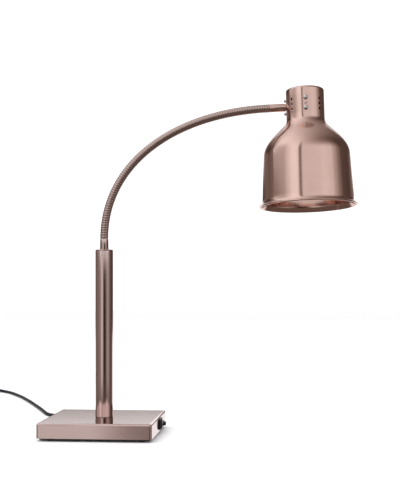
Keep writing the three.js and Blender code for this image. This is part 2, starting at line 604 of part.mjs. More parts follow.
// A U-shaped strap across the neck: the web carries the lampholder, the legs are screwed to the neck.
function socketBracket() {
  const { width, sheet, face, top, bottom } = BRACKET;
  const strap = cut(block(-width / 2, width / 2, -face, face, bottom, top), [
    block(-width, width, -face + sheet, face - sheet, bottom - 1, top - sheet),
  ]);
  const holes = [-1, 1].flatMap((side) => [-1, 1].map((row) => aim(
    rod(BRACKET_SCREW.r + GAP, 25, 40, 10), [0, side, 0], [0, 0, row * VENT.spacing],
  )));
  const rivetHole = aim(rod(RIVET.r + GAP, 25, 40, 8), [0, -1, 0], [0, 0, 0]);
  return cut(strap, [...holes, rivetHole, rod(NIPPLE.r + GAP, 20, 30, 16)]);
}
add('socket_bracket', socketBracket(), STEEL, head);

for (const [place, side] of [['front', -1], ['back', 1]]) {
  for (const [level, row] of [['upper', 1], ['lower', -1]]) {
    const screw = panHead(BRACKET_SCREW.r, 6.5, BRACKET_SCREW.headR, BRACKET_SCREW.headHeight);
    const seat = [0, side * (SHADE.neckR + GAP), row * VENT.spacing];
    add(`bracket_screw_${place}_${level}`, aim(screw, [0, side, 0], seat), NICKEL, head);
  }
}
const rivet = panHead(RIVET.r, RIVET.length, RIVET.headR, RIVET.headHeight);
add('bracket_rivet', aim(rivet, [0, -1, 0], [0, -SHADE.neckR - GAP, 0]), NICKEL, head);

function lampholder() {
  const { r, top, bottom, cavityR, cavityTop } = HOLDER;
  return turned([
    [0, cavityTop], [cavityR - 4, cavityTop], [cavityR, cavityTop - 4], [cavityR, bottom], [r - 1.5, bottom],
    [r, bottom + 1.5], [r, top - 4], [r - 3, top], [NIPPLE.r, top], [NIPPLE.r, BRACKET.top + 2.6],
    [0, BRACKET.top + 2.6],
  ]);
}
add('lampholder', lampholder(), PORCELAIN, head);

// The lamp: a screw cap and a reflector envelope, open where the cap holds it.
function lampCap() {
  const { capR, capTop, capBottom } = LAMP;
  return turned([
    [0, capTop - 1.2], [4, capTop - 1.2], [5.5, capTop - 3], [capR - 1.2, capTop - 6], [capR - 1, capBottom],
    [capR, capBottom], [capR, capTop - 5.2], [7, capTop - 2], [4.6, capTop], [0, capTop],
  ], 20);
}
add('lamp_cap', lampCap(), BRASS, head);

function lampGlass() {
  const line = new THREE.Path();
  line.moveTo(LAMP.capR - 1.6, LAMP.capBottom + 9);
  line.lineTo(LAMP.capR - 1.6, LAMP.capBottom - 2);
  line.quadraticCurveTo(15, -27, 17, -32);
  line.bezierCurveTo(20, -52, LAMP.maxR, -84, LAMP.maxR, LAMP.maxZ);
  line.bezierCurveTo(LAMP.maxR, -142, 35, LAMP.faceZ, 0, LAMP.faceZ);
  const { outer, inner } = shell(line, 4, LAMP.glass);
  inner[inner.length - 1] = [0, LAMP.faceZ + LAMP.glass];
  return turned([...outer.reverse(), ...inner], 24);
}
add('lamp_glass', lampGlass(), LAMP_GLASS, head);

const headRoute = [
  [-HEAD.armReach - ARM.endStub + ARM.gap, 0, -0.5], [-50, 0, 0], [-30, 0, 0], [-24.5, 0, 0.2],
  [-21.3, 0, 2.6], [-20.4, 0, 8], [-20.4, 0, 14], [-19.8, 0, 19.5], [-17.3, 0, 23.6],
  [-13.6, 0, 25.1], [-10.9, 0, 24.1], [-10.2, 0, 22.8], [-10.2, 0, HOLDER.top + GAP],
];
add('lead_head', lead(headRoute, LEAD_R - 0.3, 26), LEAD_SLEEVE, head);

// Centre the lamp's own box, without the cord, over the origin.
const footprint = new THREE.Box3().setFromObject(stand, true).getCenter(new THREE.Vector3());
lamp.position.set(-footprint.x, -footprint.y, 0);

export default lamp;
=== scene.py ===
"""Looks of a gooseneck heat lamp warmer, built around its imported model.

Metres, +Z up, +X from the column towards the shade. Sections: camera, cord, tools, materials, pieces, studio.
"""

import json
import math

import bmesh
import bpy
from mathutils import Matrix, Vector


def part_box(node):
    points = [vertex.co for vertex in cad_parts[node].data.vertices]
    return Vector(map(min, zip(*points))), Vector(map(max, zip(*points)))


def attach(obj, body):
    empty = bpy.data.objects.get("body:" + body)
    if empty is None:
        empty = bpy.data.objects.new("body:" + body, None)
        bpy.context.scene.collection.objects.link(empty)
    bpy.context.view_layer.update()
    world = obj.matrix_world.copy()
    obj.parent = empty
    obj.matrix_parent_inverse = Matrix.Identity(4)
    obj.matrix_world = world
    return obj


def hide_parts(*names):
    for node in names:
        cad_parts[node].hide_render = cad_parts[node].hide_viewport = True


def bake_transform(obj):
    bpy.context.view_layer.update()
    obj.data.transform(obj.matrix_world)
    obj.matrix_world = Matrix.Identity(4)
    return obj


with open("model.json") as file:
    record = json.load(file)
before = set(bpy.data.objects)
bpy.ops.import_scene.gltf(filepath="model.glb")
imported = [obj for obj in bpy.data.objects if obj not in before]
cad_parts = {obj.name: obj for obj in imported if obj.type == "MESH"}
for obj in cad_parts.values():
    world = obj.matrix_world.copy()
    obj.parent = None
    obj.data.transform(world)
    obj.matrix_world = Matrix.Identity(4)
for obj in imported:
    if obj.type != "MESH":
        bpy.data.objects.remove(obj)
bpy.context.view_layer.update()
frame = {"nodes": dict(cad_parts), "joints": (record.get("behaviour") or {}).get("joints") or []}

MM = 0.001
column_low, column_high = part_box("column")
AXIS_X = (column_low.x + column_high.x) / 2
COLUMN = Matrix.Translation((AXIS_X, 0, 0))


def by_column(x, y, z):
    """A point given from the foot of the column's axis."""
    return Vector((AXIS_X + x, y, z))


# ---- Camera ----
EYE = by_column(0.319, -1.709, 0.257)
YAW = math.radians(4.8)
FOCAL = 69.15
SHIFT_UP = 0.0943

camera_data = bpy.data.cameras.new("camera")
camera_data.lens = FOCAL
camera_data.shift_y = SHIFT_UP
camera = bpy.data.objects.new("camera", camera_data)
camera.location = EYE
camera.rotation_euler = (math.pi / 2, 0, YAW)
bpy.context.scene.collection.objects.link(camera)
bpy.context.scene.camera = camera

# ---- Mains cord: along the floor, round the coil, and over its edge into the plug ----
CORD_DIAMETER = 0.007
FLOOR_LINE = CORD_DIAMETER / 2 + 0.0002
CORD_RUN = [
    (-0.060, 0.1314, 0.018), (-0.060, 0.146, 0.017), (-0.0615, 0.160, 0.0135), (-0.066, 0.174, 0.0086),
    (-0.075, 0.187, 0.005), (-0.089, 0.1975, FLOOR_LINE), (-0.106, 0.204, FLOOR_LINE),
    (-0.124, 0.209, FLOOR_LINE), (-0.142, 0.217, FLOOR_LINE), (-0.157, 0.2295, FLOOR_LINE),
    (-0.169, 0.248, FLOOR_LINE), (-0.182, 0.279, FLOOR_LINE), (-0.204, 0.332, FLOOR_LINE),
    (-0.230, 0.391, FLOOR_LINE), (-0.255, 0.447, FLOOR_LINE), (-0.281, 0.502, FLOOR_LINE),
    (-0.305, 0.551, FLOOR_LINE), (-0.330, 0.597, FLOOR_LINE), (-0.353, 0.636, FLOOR_LINE),
    (-0.376, 0.668, FLOOR_LINE), (-0.394, 0.6865, FLOOR_LINE + 0.0004), (-0.4112, 0.7027, FLOOR_LINE + 0.001),
]
coil_low, coil_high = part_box("cord_coil")
COIL = (coil_low + coil_high) / 2
COIL_OUTER_TURN = (coil_high.y - coil_low.y) / 2 - CORD_DIAMETER / 2 - 0.0002
COIL_INNER_TURN = COIL_OUTER_TURN - CORD_DIAMETER - 0.0002
COIL_LAYERS = [coil_low.z + layer * CORD_DIAMETER for layer in (0.5, 1.58, 2.44)]
COIL_ENTRY = math.radians(46.7)
COIL_EXIT = math.pi
plug_low, plug_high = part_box("plug_body")


def smooth_step(value, low, high):
    t = min(1, max(0, (value - low) / (high - low)))
    return t * t * (3 - 2 * t)


def coil_points(steps_per_turn=20):
    """Turns counted from the entry: in, up, out again, and a last part turn lying on the two below it."""
    turns = 4 + (COIL_EXIT - COIL_ENTRY) / (2 * math.pi)
    steps = round(turns * steps_per_turn)
    points = []
    for i in range(steps + 1):
        turn = turns * i / steps
        inward = smooth_step(turn, 0.7, 1) - smooth_step(turn, 2.7, 3)
        on_top = smooth_step(turn, 3.75, 4)
        inward += 0.5 * (on_top - smooth_step(turn, 4.1, turns))
        radius = COIL_OUTER_TURN + inward * (COIL_INNER_TURN - COIL_OUTER_TURN)
        first, second, third = COIL_LAYERS
        height = first + smooth_step(turn, 1.7, 2) * (second - first) + on_top * (third - second)
        angle = COIL_ENTRY + 2 * math.pi * turn
        points.append(Vector((COIL.x + radius * math.cos(angle), COIL.y + radius * math.sin(angle), height)))
    return points


def cord_route():
    run = [by_column(*point) for point in CORD_RUN]
    coil = coil_points()
    plug_x = (plug_low.x + plug_high.x) / 2
    plug_z = (plug_low.z + plug_high.z) / 2
    tail = [
        Vector((plug_x, coil[-1].y - 0.014, coil[-1].z - 0.0008)),
        Vector((plug_x, coil[-1].y - 0.030, plug_z + 0.0032)),
        Vector((plug_x, plug_high.y + 0.004, plug_z + 0.0003)),
        Vector((plug_x, plug_high.y - 0.003, plug_z)),
    ]
    return run + coil + tail


def smooth_curve(points, per_span=6):
    """Catmull-Rom points through the given ones."""
    ends = [2 * points[0] - points[1], *points, 2 * points[-1] - points[-2]]
    line = []
    for a, b, c, d in zip(ends, ends[1:], ends[2:], ends[3:]):
        for i in range(per_span):
            t = i / per_span
            line.append(0.5 * (2 * b + (c - a) * t + (2 * a - 5 * b + 4 * c - d) * t**2
                               + (3 * b - a - 3 * c + d) * t**3))
    return [*line, points[-1]]


cord_line = smooth_curve(cord_route(), 4)

# ---- Mesh tools ----
depsgraph_get = bpy.context.evaluated_depsgraph_get


def make_object(name, bm, sharp_angle=32):
    """A linked object from a bmesh: normals out, smooth shading with sharp edges kept."""
    bmesh.ops.recalc_face_normals(bm, faces=bm.faces)
    mesh = bpy.data.meshes.new(name)
    bm.to_mesh(mesh)
    bm.free()
    mesh.shade_smooth()
    mesh.set_sharp_from_angle(angle=math.radians(sharp_angle))
    thing = bpy.data.objects.new(name, mesh)
    bpy.context.scene.collection.objects.link(thing)
    return thing


def settle(thing, body, material, nodes):
    """Gives a finished piece its material and its body, and hides the CAD nodes that it stands for."""
    thing.data.materials.clear()
    thing.data.materials.append(material)
    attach(thing, body)
    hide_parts(*nodes)
    return thing


def apply_modifiers(thing, sharp_angle=32):
    fresh = bpy.data.meshes.new_from_object(thing.evaluated_get(depsgraph_get()))
    thing.modifiers.clear()
    thing.data = fresh
    fresh.shade_smooth()
    fresh.set_sharp_from_angle(angle=math.radians(sharp_angle))


def combine(thing, operation, bm):
    """Cuts a closed mesh, given as a bmesh, out of a piece, or joins it on."""
    tool = make_object(thing.name + "_tool", bm)
    boolean = thing.modifiers.new("combine", "BOOLEAN")
    boolean.object = tool
    boolean.operation = operation
    boolean.solver = "EXACT"
    apply_modifiers(thing)
    bpy.data.objects.remove(tool)


def cut_away(thing, cutters):
    """Cuts closed tool meshes, given as bmeshes, out of a piece."""
    combine(thing, "DIFFERENCE", merge(cutters))


def merge(parts):
    joined = bmesh.new()
    for part in parts:
        mesh = bpy.data.meshes.new("part")
        part.to_mesh(mesh)
        part.free()
        joined.from_mesh(mesh)
        bpy.data.meshes.remove(mesh)
    return joined


def rounded(corners, steps=5):
    """Points along an outline whose corners are (x, y) or (x, y, radius)."""
    points = []
    for i, corner in enumerate(corners):
        here = Vector(corner[:2])
        radius = corner[2] if len(corner) > 2 else 0
        if not radius:
            points.append(here)
            continue
        before = (Vector(corners[i - 1][:2]) - here).normalized()
        after = (Vector(corners[(i + 1) % len(corners)][:2]) - here).normalized()
        half = before.angle(after) / 2
        reach = radius / math.tan(half)
        centre = here + (before + after).normalized() * (radius / math.sin(half))
        start = here + before * reach - centre
        turn = start.angle_signed(here + after * reach - centre)
        for k in range(steps + 1):
            points.append(centre + Matrix.Rotation(-turn * k / steps, 2) @ start)
    return points


def bezier(a, b, c, d, steps):
    """Points after a on a cubic curve from a to d."""
    a, b, c, d = Vector(a), Vector(b), Vector(c), Vector(d)
    line = []
    for i in range(1, steps + 1):
        t = i / steps
        line.append(a * (1 - t)**3 + 3 * b * t * (1 - t)**2 + 3 * c * t * t * (1 - t) + d * t**3)
    return line


def arc(centre, radius, start, end, steps):
    """Points on a circle from one angle to another, in degrees, both ends counted."""
    points = []
    for i in range(steps + 1):
        angle = math.radians(start + (end - start) * i / steps)
        points.append(Vector((centre[0] + radius * math.cos(angle), centre[1] + radius * math.sin(angle))))
    return points


def in_mm(*values):
    return tuple(value * MM for value in values)


def inner_face(line, thickness):
    """A turned sheet's inside: its outside line without the last point, moved in by the thickness."""
    moved = []
    for i, point in enumerate(line[:-1]):
        along = (line[i + 1] - line[max(i - 1, 0)]).normalized()
        moved.append(Vector((max(0, point.x + along.y * thickness), point.y - along.x * thickness)))
    return moved


def turned(profile, place=COLUMN, segments=96):
    """A bmesh turned round +Z from (radius, height) points, closed on itself or on the axis, then placed."""
    bm = bmesh.new()
    uv = bm.loops.layers.uv.new("UVMap")
    rings = []
    for radius, height in profile:
        if radius < 1e-7:
            rings.append([bm.verts.new(place @ Vector((0, 0, height)))] * segments)
            continue
        ring = []
        for j in range(segments):
            angle = 2 * math.pi * j / segments
            spot = Vector((radius * math.cos(angle), radius * math.sin(angle), height))
            ring.append(bm.verts.new(place @ spot))
        rings.append(ring)
    travel = 0
    on_axis = profile[0][0] < 1e-7 and profile[-1][0] < 1e-7
    spans = len(rings) - 1 if on_axis else len(rings)
    for i in range(spans):
        low, high = rings[i], rings[(i + 1) % len(rings)]
        step = (Vector(profile[(i + 1) % len(rings)]) - Vector(profile[i])).length
        for j in range(segments):
            k = (j + 1) % segments
            loop = [low[j], low[k], high[k], high[j]]
            places = [(j, travel), (j + 1, travel), (j + 1, travel + step), (j, travel + step)]
            kept = [n for n in range(4) if loop[n] is not loop[n - 1]]
            if len(kept) < 3:
                continue
            face = bm.faces.new([loop[n] for n in kept])
            for corner, n in zip(face.loops, kept):
                corner[uv].uv = (places[n][0] / segments, places[n][1] * 10)
        travel += step
    return bm


def aimed(origin, direction):
    """A placing matrix that turns +Z to a direction at a point."""
    turn = Vector(direction).to_track_quat("Z", "Y").to_matrix().to_4x4()
    return Matrix.Translation(origin) @ turn


def rod(origin, direction, radius, start, end, segments=48):
    return turned([(0, start), (radius, start), (radius, end), (0, end)], aimed(origin, direction), segments)


def prism(outline, low, high, edge, place, steps=3):
    """A slab from a flat outline of (x, y) points, between two heights, with rounded top and bottom edges."""
    bm = bmesh.new()
    levels = [(0, low)]
    if edge:
        turns = [math.pi / 2 * i / steps for i in range(steps + 1)]
        levels = [(edge * (1 - math.sin(turn)), low + edge * (1 - math.cos(turn))) for turn in turns]
    levels += [(inset, high - (height - low)) for inset, height in reversed(levels)]
    rings = []
    for inset, height in levels:
        line = inset_outline(outline, inset)
        rings.append([bm.verts.new(place @ Vector((p.x, p.y, height))) for p in line])
    for below, above in zip(rings, rings[1:]):
        for j in range(len(outline)):
            k = (j + 1) % len(outline)
            bm.faces.new((below[j], below[k], above[k], above[j]))
    bm.faces.new(list(reversed(rings[0])))
    bm.faces.new(rings[-1])
    return bm


def inset_outline(outline, distance):
    """Moves a counter-clockwise outline inwards by a distance, corner by corner."""
    if not distance:
        return [Vector(p) for p in outline]
    moved = []
    for i, point in enumerate(outline):
        before = (Vector(point) - Vector(outline[i - 1])).normalized()
        after = (Vector(outline[(i + 1) % len(outline)]) - Vector(point)).normalized()
        normal = Vector((-before.y - after.y, before.x + after.x))
        normal.normalize()
        share = max(0.3, normal.dot(Vector((-after.y, after.x))))
        moved.append(Vector(point) + normal * (distance / share))
    return moved


def rectangle(width, depth, radius, steps=5):
    x, y = width / 2, depth / 2
    return rounded([(-x, -y, radius), (x, -y, radius), (x, y, radius), (-x, y, radius)], steps)


def block(low, high):
    centre = (Vector(low) + Vector(high)) / 2
    x, y, z = (Vector(high) - Vector(low)) / 2
    return prism([Vector((-x, -y)), Vector((x, -y)), Vector((x, y)), Vector((-x, y))], -z, z, 0,
                 Matrix.Translation(centre))


# ---- Materials ----
class Nodes:
    """A short way to write a node tree."""

    def __init__(self, tree):
        self.tree = tree

    def node(self, kind, inputs=(), **settings):
        made = self.tree.nodes.new(kind)
        for key, value in settings.items():
            setattr(made, key, value)
        for key, value in dict(inputs).items():
            self.feed(made.inputs[key], value)
        return made

    def feed(self, socket, value):
        if isinstance(value, bpy.types.NodeSocket):
            self.tree.links.new(value, socket)
        else:
            socket.default_value = value

    def math(self, operation, a, b=0.0):
        return self.node("ShaderNodeMath", {0: a, 1: b}, operation=operation).outputs[0]

    def noise(self, vector, scale, detail=3.0, roughness=0.55):
        inputs = {"Vector": vector, "Scale": scale, "Detail": detail, "Roughness": roughness}
        return self.node("ShaderNodeTexNoise", inputs).outputs["Fac"]

    def spread(self, value, low, high, to_low=0.0, to_high=1.0):
        inputs = {"Value": value, "From Min": low, "From Max": high, "To Min": to_low, "To Max": to_high}
        return self.node("ShaderNodeMapRange", inputs).outputs["Result"]

    def mix(self, share, a, b, blend="MIX"):
        made = self.node("ShaderNodeMix", data_type="RGBA", blend_type=blend)
        self.feed(made.inputs["Factor"], share)
        self.feed(made.inputs[6], (*a, 1) if isinstance(a, tuple) else a)
        self.feed(made.inputs[7], (*b, 1) if isinstance(b, tuple) else b)
        return made.outputs[2]

    def ease(self, value, none, full):
        """Rises smoothly from 0 to 1 as a value goes from none to full."""
        inputs = {"Value": value, "From Min": none, "From Max": full}
        return self.node("ShaderNodeMapRange", inputs, interpolation_type="SMOOTHSTEP").outputs["Result"]

    def vector(self, operation, a, b=(0, 0, 0), output=0):
        return self.node("ShaderNodeVectorMath", {0: a, 1: b}, operation=operation).outputs[output]

    def heading(self, name):
        return self.node("ShaderNodeTexCoord").outputs[name]


class Surface(Nodes):
    """The node tree of a new material."""

    def __init__(self, name):
        self.material = bpy.data.materials.new(name)
        self.material.use_nodes = True
        super().__init__(self.material.node_tree)
        self.shader = self.tree.nodes["Principled BSDF"]

    def bump(self, height, strength, distance):
        inputs = {"Height": height, "Strength": strength, "Distance": distance}
        self.feed(self.shader.inputs["Normal"], self.node("ShaderNodeBump", inputs).outputs[0])

    def here(self):
        return self.heading("Object")

    def set(self, **values):
        for key, value in values.items():
            self.feed(self.shader.inputs[key.replace("_", " ")], value)


COPPER = (0.80, 0.57, 0.51)
# Greyer, bluer copper for the base and the column than the head's, standing in for their greyer reflections:
# a painted reflection tint.
GREY_REFLECTION_COPPER = (0.80, 0.64, 0.625)


def brush_around(nodes, place):
    """A direction that changes fast across the brush marks round an axis and slowly along them."""
    mapped = nodes.node("ShaderNodeMapping", {"Vector": nodes.here()}, vector_type="TEXTURE")
    mapped.inputs["Location"].default_value = place.to_translation()
    mapped.inputs["Rotation"].default_value = place.to_euler()
    flat = nodes.vector("MULTIPLY", mapped.outputs[0], (1, 1, 0))
    radius = nodes.vector("LENGTH", flat, output="Value")
    slow = nodes.vector("MULTIPLY", nodes.vector("NORMALIZE", flat), (0.012, 0.012, 0))
    height = nodes.node("ShaderNodeSeparateXYZ", {0: mapped.outputs[0]}).outputs["Z"]
    across = nodes.math("SUBTRACT", height, radius)
    lift = nodes.node("ShaderNodeCombineXYZ", {"Z": across}).outputs[0]
    return nodes.vector("ADD", slow, lift)


def brush_along_x(nodes):
    return nodes.vector("MULTIPLY", nodes.here(), (0.02, 1, 1))


def brushed_copper(name, colour, place=None, roughness=0.17, anisotropic=0.6):
    """Antique copper plate with brush marks round an axis, or along X where no axis is given."""
    nodes = Surface(name)
    marks = brush_around(nodes, place) if place else brush_along_x(nodes)
    fine = nodes.noise(marks, 2600, 2)
    broad = nodes.noise(marks, 420, 3)
    patina = nodes.noise(nodes.here(), 22, 4)
    tone = nodes.math("ADD", nodes.math("MULTIPLY", fine, 0.4), nodes.math("MULTIPLY", broad, 0.25))
    tone = nodes.math("ADD", tone, nodes.math("MULTIPLY", patina, 0.35))
    worn = tuple(channel * share for channel, share in zip(colour, (0.90, 0.86, 0.83)))
    nodes.set(Base_Color=nodes.mix(nodes.spread(tone, 0.34, 0.66), worn, colour))
    marked = nodes.math("ADD", fine, broad)
    nodes.set(Roughness=nodes.spread(marked, 0.7, 1.3, roughness - 0.03, roughness + 0.03))
    nodes.set(Metallic=1.0, Anisotropic=anisotropic)
    if place:
        tangent = nodes.node("ShaderNodeTangent", direction_type="UV_MAP", uv_map="UVMap")
        nodes.set(Anisotropic_Rotation=0.25)
    else:
        tangent = nodes.node("ShaderNodeTangent", direction_type="RADIAL", axis="X")
    nodes.set(Tangent=tangent.outputs[0])
    nodes.bump(nodes.math("ADD", fine, nodes.math("MULTIPLY", broad, 0.3)), 0.06, 0.00003)
    return nodes.material


def plain_metal(name, light, dark, roughness, grain):
    nodes = Surface(name)
    speckle = nodes.noise(nodes.here(), grain, 4)
    nodes.set(Base_Color=nodes.mix(nodes.spread(speckle, 0.35, 0.65), dark, light))
    nodes.set(Roughness=nodes.spread(speckle, 0.3, 0.7, roughness - 0.05, roughness + 0.07), Metallic=1.0)
    nodes.bump(speckle, 0.06, 0.0001)
    return nodes.material


def moulded(name, light, dark, roughness, grain, bump=0.12):
    """Rubber, plastic or a sheath: a fine moulded grain and slow changes of tone."""
    nodes = Surface(name)
    slow = nodes.noise(nodes.here(), 45, 3)
    fine = nodes.noise(nodes.here(), grain, 2)
    nodes.set(Base_Color=nodes.mix(nodes.spread(slow, 0.35, 0.65), dark, light))
    nodes.set(Roughness=nodes.spread(slow, 0.3, 0.7, roughness - 0.06, roughness + 0.06))
    nodes.bump(fine, bump, 0.0002)
    return nodes.material


# ---- Places worked out from the frame ----
HEAD_REACH = 0.3649
HEAD_HEIGHT = 0.591
HEAD_PITCH = math.radians(-1.7)
HEAD_ROLL = math.radians(-2.3)
HEAD = (Matrix.Translation(by_column(HEAD_REACH, 0, HEAD_HEIGHT))
        @ Matrix.Rotation(HEAD_PITCH, 4, "Y") @ Matrix.Rotation(HEAD_ROLL, 4, "X"))
ARM_END = 0.063

# Base and column take the greyer copper: painted reflection tint.
copper_base = brushed_copper("brushed_copper_base", GREY_REFLECTION_COPPER, None, 0.11, 0.4)
copper_column = brushed_copper("brushed_copper_column", GREY_REFLECTION_COPPER, COLUMN, 0.12, 0.45)
copper_head = brushed_copper("brushed_copper_head", COPPER, HEAD, 0.13, 0.5)
zinc = plain_metal("zinc_plate", (0.62, 0.62, 0.63), (0.42, 0.42, 0.43), 0.38, 600)
nickel = plain_metal("nickel_plate", (0.82, 0.82, 0.84), (0.68, 0.68, 0.70), 0.16, 900)
brass = plain_metal("brass", (0.72, 0.52, 0.22), (0.55, 0.37, 0.13), 0.3, 700)
iron = plain_metal("cast_iron", (0.10, 0.10, 0.10), (0.04, 0.04, 0.04), 0.65, 300)
powder_coat = moulded("black_powder_coat", (0.022, 0.022, 0.024), (0.012, 0.012, 0.014), 0.5, 1500, 0.25)
rubber = moulded("black_rubber", (0.018, 0.018, 0.019), (0.010, 0.010, 0.011), 0.72, 2200)
plastic = moulded("black_plastic", (0.017, 0.017, 0.019), (0.010, 0.010, 0.012), 0.34, 3000, 0.08)
sheath = moulded("cord_sheath", (0.020, 0.022, 0.030), (0.013, 0.014, 0.020), 0.45, 1800)
sleeve = moulded("lead_sleeve", (0.66, 0.58, 0.46), (0.50, 0.43, 0.33), 0.8, 1600, 0.4)
block_plastic = moulded("block_plastic", (0.80, 0.78, 0.72), (0.70, 0.68, 0.62), 0.5, 2000)
porcelain = moulded("porcelain", (0.88, 0.86, 0.80), (0.80, 0.77, 0.70), 0.14, 400, 0.03)


def hose_copper():
    """Copper plate on the gooseneck, with painted shade darkening the grooves between its ribs."""
    nodes = Surface("hose_copper")
    groove = nodes.node("ShaderNodeAttribute", attribute_name="rib").outputs["Fac"]
    speckle = nodes.noise(nodes.here(), 500, 3)
    tone = nodes.math("ADD", groove, nodes.math("MULTIPLY", nodes.math("SUBTRACT", speckle, 0.5), 0.5))
    # The rib height darkens the base colour down in the grooves: painted shade.
    nodes.set(Base_Color=nodes.mix(nodes.spread(tone, 0, 0.8), (0.42, 0.315, 0.287), (0.58, 0.447, 0.409)))
    nodes.set(Roughness=nodes.spread(groove, 0, 1, 0.42, 0.27), Metallic=1.0)
    return nodes.material


def frosted_lamp():
    """The envelope: a frosted face that turns to a silvered cone behind the widest line."""
    nodes = Surface("lamp_glass")
    mapped = nodes.node("ShaderNodeMapping", {"Vector": nodes.here()}, vector_type="TEXTURE")
    mapped.inputs["Location"].default_value = HEAD.to_translation()
    mapped.inputs["Rotation"].default_value = HEAD.to_euler()
    height = nodes.node("ShaderNodeSeparateXYZ", {0: mapped.outputs[0]}).outputs["Z"]
    silvered = nodes.spread(height, -0.124, -0.112)
    frost = nodes.noise(nodes.here(), 900, 3)
    face = nodes.mix(nodes.spread(frost, 0.3, 0.7), (0.82, 0.81, 0.78), (0.90, 0.89, 0.86))
    nodes.set(Base_Color=nodes.mix(silvered, face, (0.70, 0.70, 0.71)))
    nodes.set(Metallic=nodes.math("MULTIPLY", silvered, 0.9))
    nodes.set(Roughness=nodes.spread(silvered, 0, 1, 0.38, 0.22))
    nodes.bump(frost, 0.1, 0.0001)
    return nodes.material


# ---- Base ----
cover_low, cover_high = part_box("base_cover")
COVER_SIDE = cover_high.y - cover_low.y
COVER_WALL = 0.0015
COVER_CORNER = 0.004
COVER_EDGE = 0.0035


def cover_rings(side, corner, edge, top, bottom):
    """Outlines down a folded cover: the flat top, its rounded edge and the skirt."""
    levels = [(0.012, top), (edge + 0.0012, top)]
    for i in range(9):
        angle = math.pi / 2 * i / 8
        levels.append((edge * (1 - math.sin(angle)), top - edge * (1 - math.cos(angle))))
    levels.append((0, bottom))
    outline = rectangle(side, side, corner + 1e-5, 8)
    return [(inset_rounded(outline, side, corner, inset), height) for inset, height in levels]


def inset_rounded(outline, side, corner, inset):
    """Scales the straight runs and the corner arcs of a rounded square separately."""
    half = side / 2 - corner
    moved = []
    for p in outline:
        anchor = Vector((math.copysign(half, p.x), math.copysign(half, p.y)))
        arm = Vector(p) - anchor
        keep = max(corner - inset, 0.0005)
        shift = anchor * ((half - max(inset - corner + 0.0005, 0)) / half)
        moved.append(shift + arm * (keep / corner))
    return moved


def base_shell():
    bm = bmesh.new()
    outer = cover_rings(COVER_SIDE, COVER_CORNER, COVER_EDGE, cover_high.z, cover_low.z)
    inner = cover_rings(COVER_SIDE - 2 * COVER_WALL, COVER_CORNER - COVER_WALL, COVER_EDGE - COVER_WALL,
                        cover_high.z - COVER_WALL, cover_low.z)
    lines = outer + list(reversed(inner))
    rings = []
    for outline, height in lines:
        rings.append([bm.verts.new(by_column(p.x, p.y, height)) for p in outline])
    for above, below in zip(rings, rings[1:]):
        for j in range(len(above)):
            k = (j + 1) % len(above)
            bm.faces.new((above[j], above[k], below[k], below[j]))
    bm.faces.new(rings[0])
    bm.faces.new(rings[-1])
    cover = make_object("base_shell", bm)
    switch_low, switch_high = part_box("switch_housing")
    bush_low, bush_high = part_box("reset_nut")
    gland_low, gland_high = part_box("cable_gland")
    face_x = cover_high.x
    window_y = (switch_high.y - switch_low.y) / 2 - 0.001
    window_z = (switch_high.z - switch_low.z) / 2 - 0.0008
    centre = (switch_low + switch_high) / 2
    reset = (bush_low + bush_high) / 2
    gland = (gland_low + gland_high) / 2
    cutters = [
        block((face_x - 0.008, centre.y - window_y, centre.z - window_z),
              (face_x + 0.008, centre.y + window_y, centre.z + window_z)),
        rod((face_x, reset.y, reset.z), (1, 0, 0), 0.0055, -0.006, 0.006),
        rod((gland.x, cover_high.y, gland.z), (0, 1, 0), 0.0067, -0.006, 0.006),
        rod(by_column(0, 0, cover_high.z), (0, 0, 1), 0.0053, -0.006, 0.006),
    ]
    cut_away(cover, cutters)
    settle(cover, "base", copper_base, ["base_cover"])


def feet():
    for place in ("front_left", "front_right", "back_left", "back_right"):
        low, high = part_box(f"foot_{place}")
        centre = (low + high) / 2
        radius = (high.x - low.x) / 2
        pad = 0.0026
        stem = 0.003
        profile = rounded([
            (0, 0), (radius - 0.0024, 0, 0.0002), (radius - 0.002, 0.0005, 0.0002),
            (radius - 0.0005, 0.0005, 0.0004), (radius, pad, 0.0004),
            (stem, pad), (stem, high.z - 0.003), (stem + 0.0012, high.z - 0.003),
            (stem - 0.0008, high.z, 0.0005), (0, high.z),
        ], 3)
        spot = Matrix.Translation((centre.x, centre.y, 0))
        foot = make_object(f"rubber_foot_{place}", turned(profile, spot, 48))
        settle(foot, "base", rubber, [f"foot_{place}"])


# ---- Column and ferrules ----
def column_pieces():
    low, high = column_low, column_high
    radius = (high.x - low.x) / 2
    bore = radius - 0.0015
    nipple = 0.0053
    tube = rounded([
        (nipple, low.z), (radius, low.z, 0.0004), (radius, high.z, 0.0003), (bore, high.z),
        (bore, low.z + 0.010), (nipple, low.z + 0.010),
    ], 4)
    piece = make_object("column_tube", turned(tube))
    settle(piece, "base", copper_column, ["column"])
    cap_low, cap_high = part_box("column_cap")
    shoulder = high.z + 0.0003
    cap = rounded([
        (nipple, cap_low.z), (bore - 0.0003, cap_low.z, 0.0004), (bore - 0.0003, shoulder),
        (radius, shoulder, 0.0003), (radius, cap_high.z, 0.0006), (nipple, cap_high.z),
    ], 4)
    piece = make_object("column_end_cap", turned(cap))
    settle(piece, "base", copper_column, ["column_cap"])
    low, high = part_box("ferrule_lower")
    spigot = 0.0051
    seat = cap_high.z + 0.0003
    shoulder = high.z - 0.006 - 0.0003
    ferrule = rounded([
        (0.0032, low.z), (0.005, low.z), (0.005, seat), (0.0079, seat, 0.0005), (0.0077, seat + 0.003, 0.001),
        (0.00745, shoulder, 0.0006), (spigot, shoulder), (spigot, high.z, 0.0004), (0.0032, high.z),
    ], 4)
    piece = make_object("lower_ferrule", turned(ferrule, COLUMN, 64))
    settle(piece, "base", copper_column, ["ferrule_lower"])


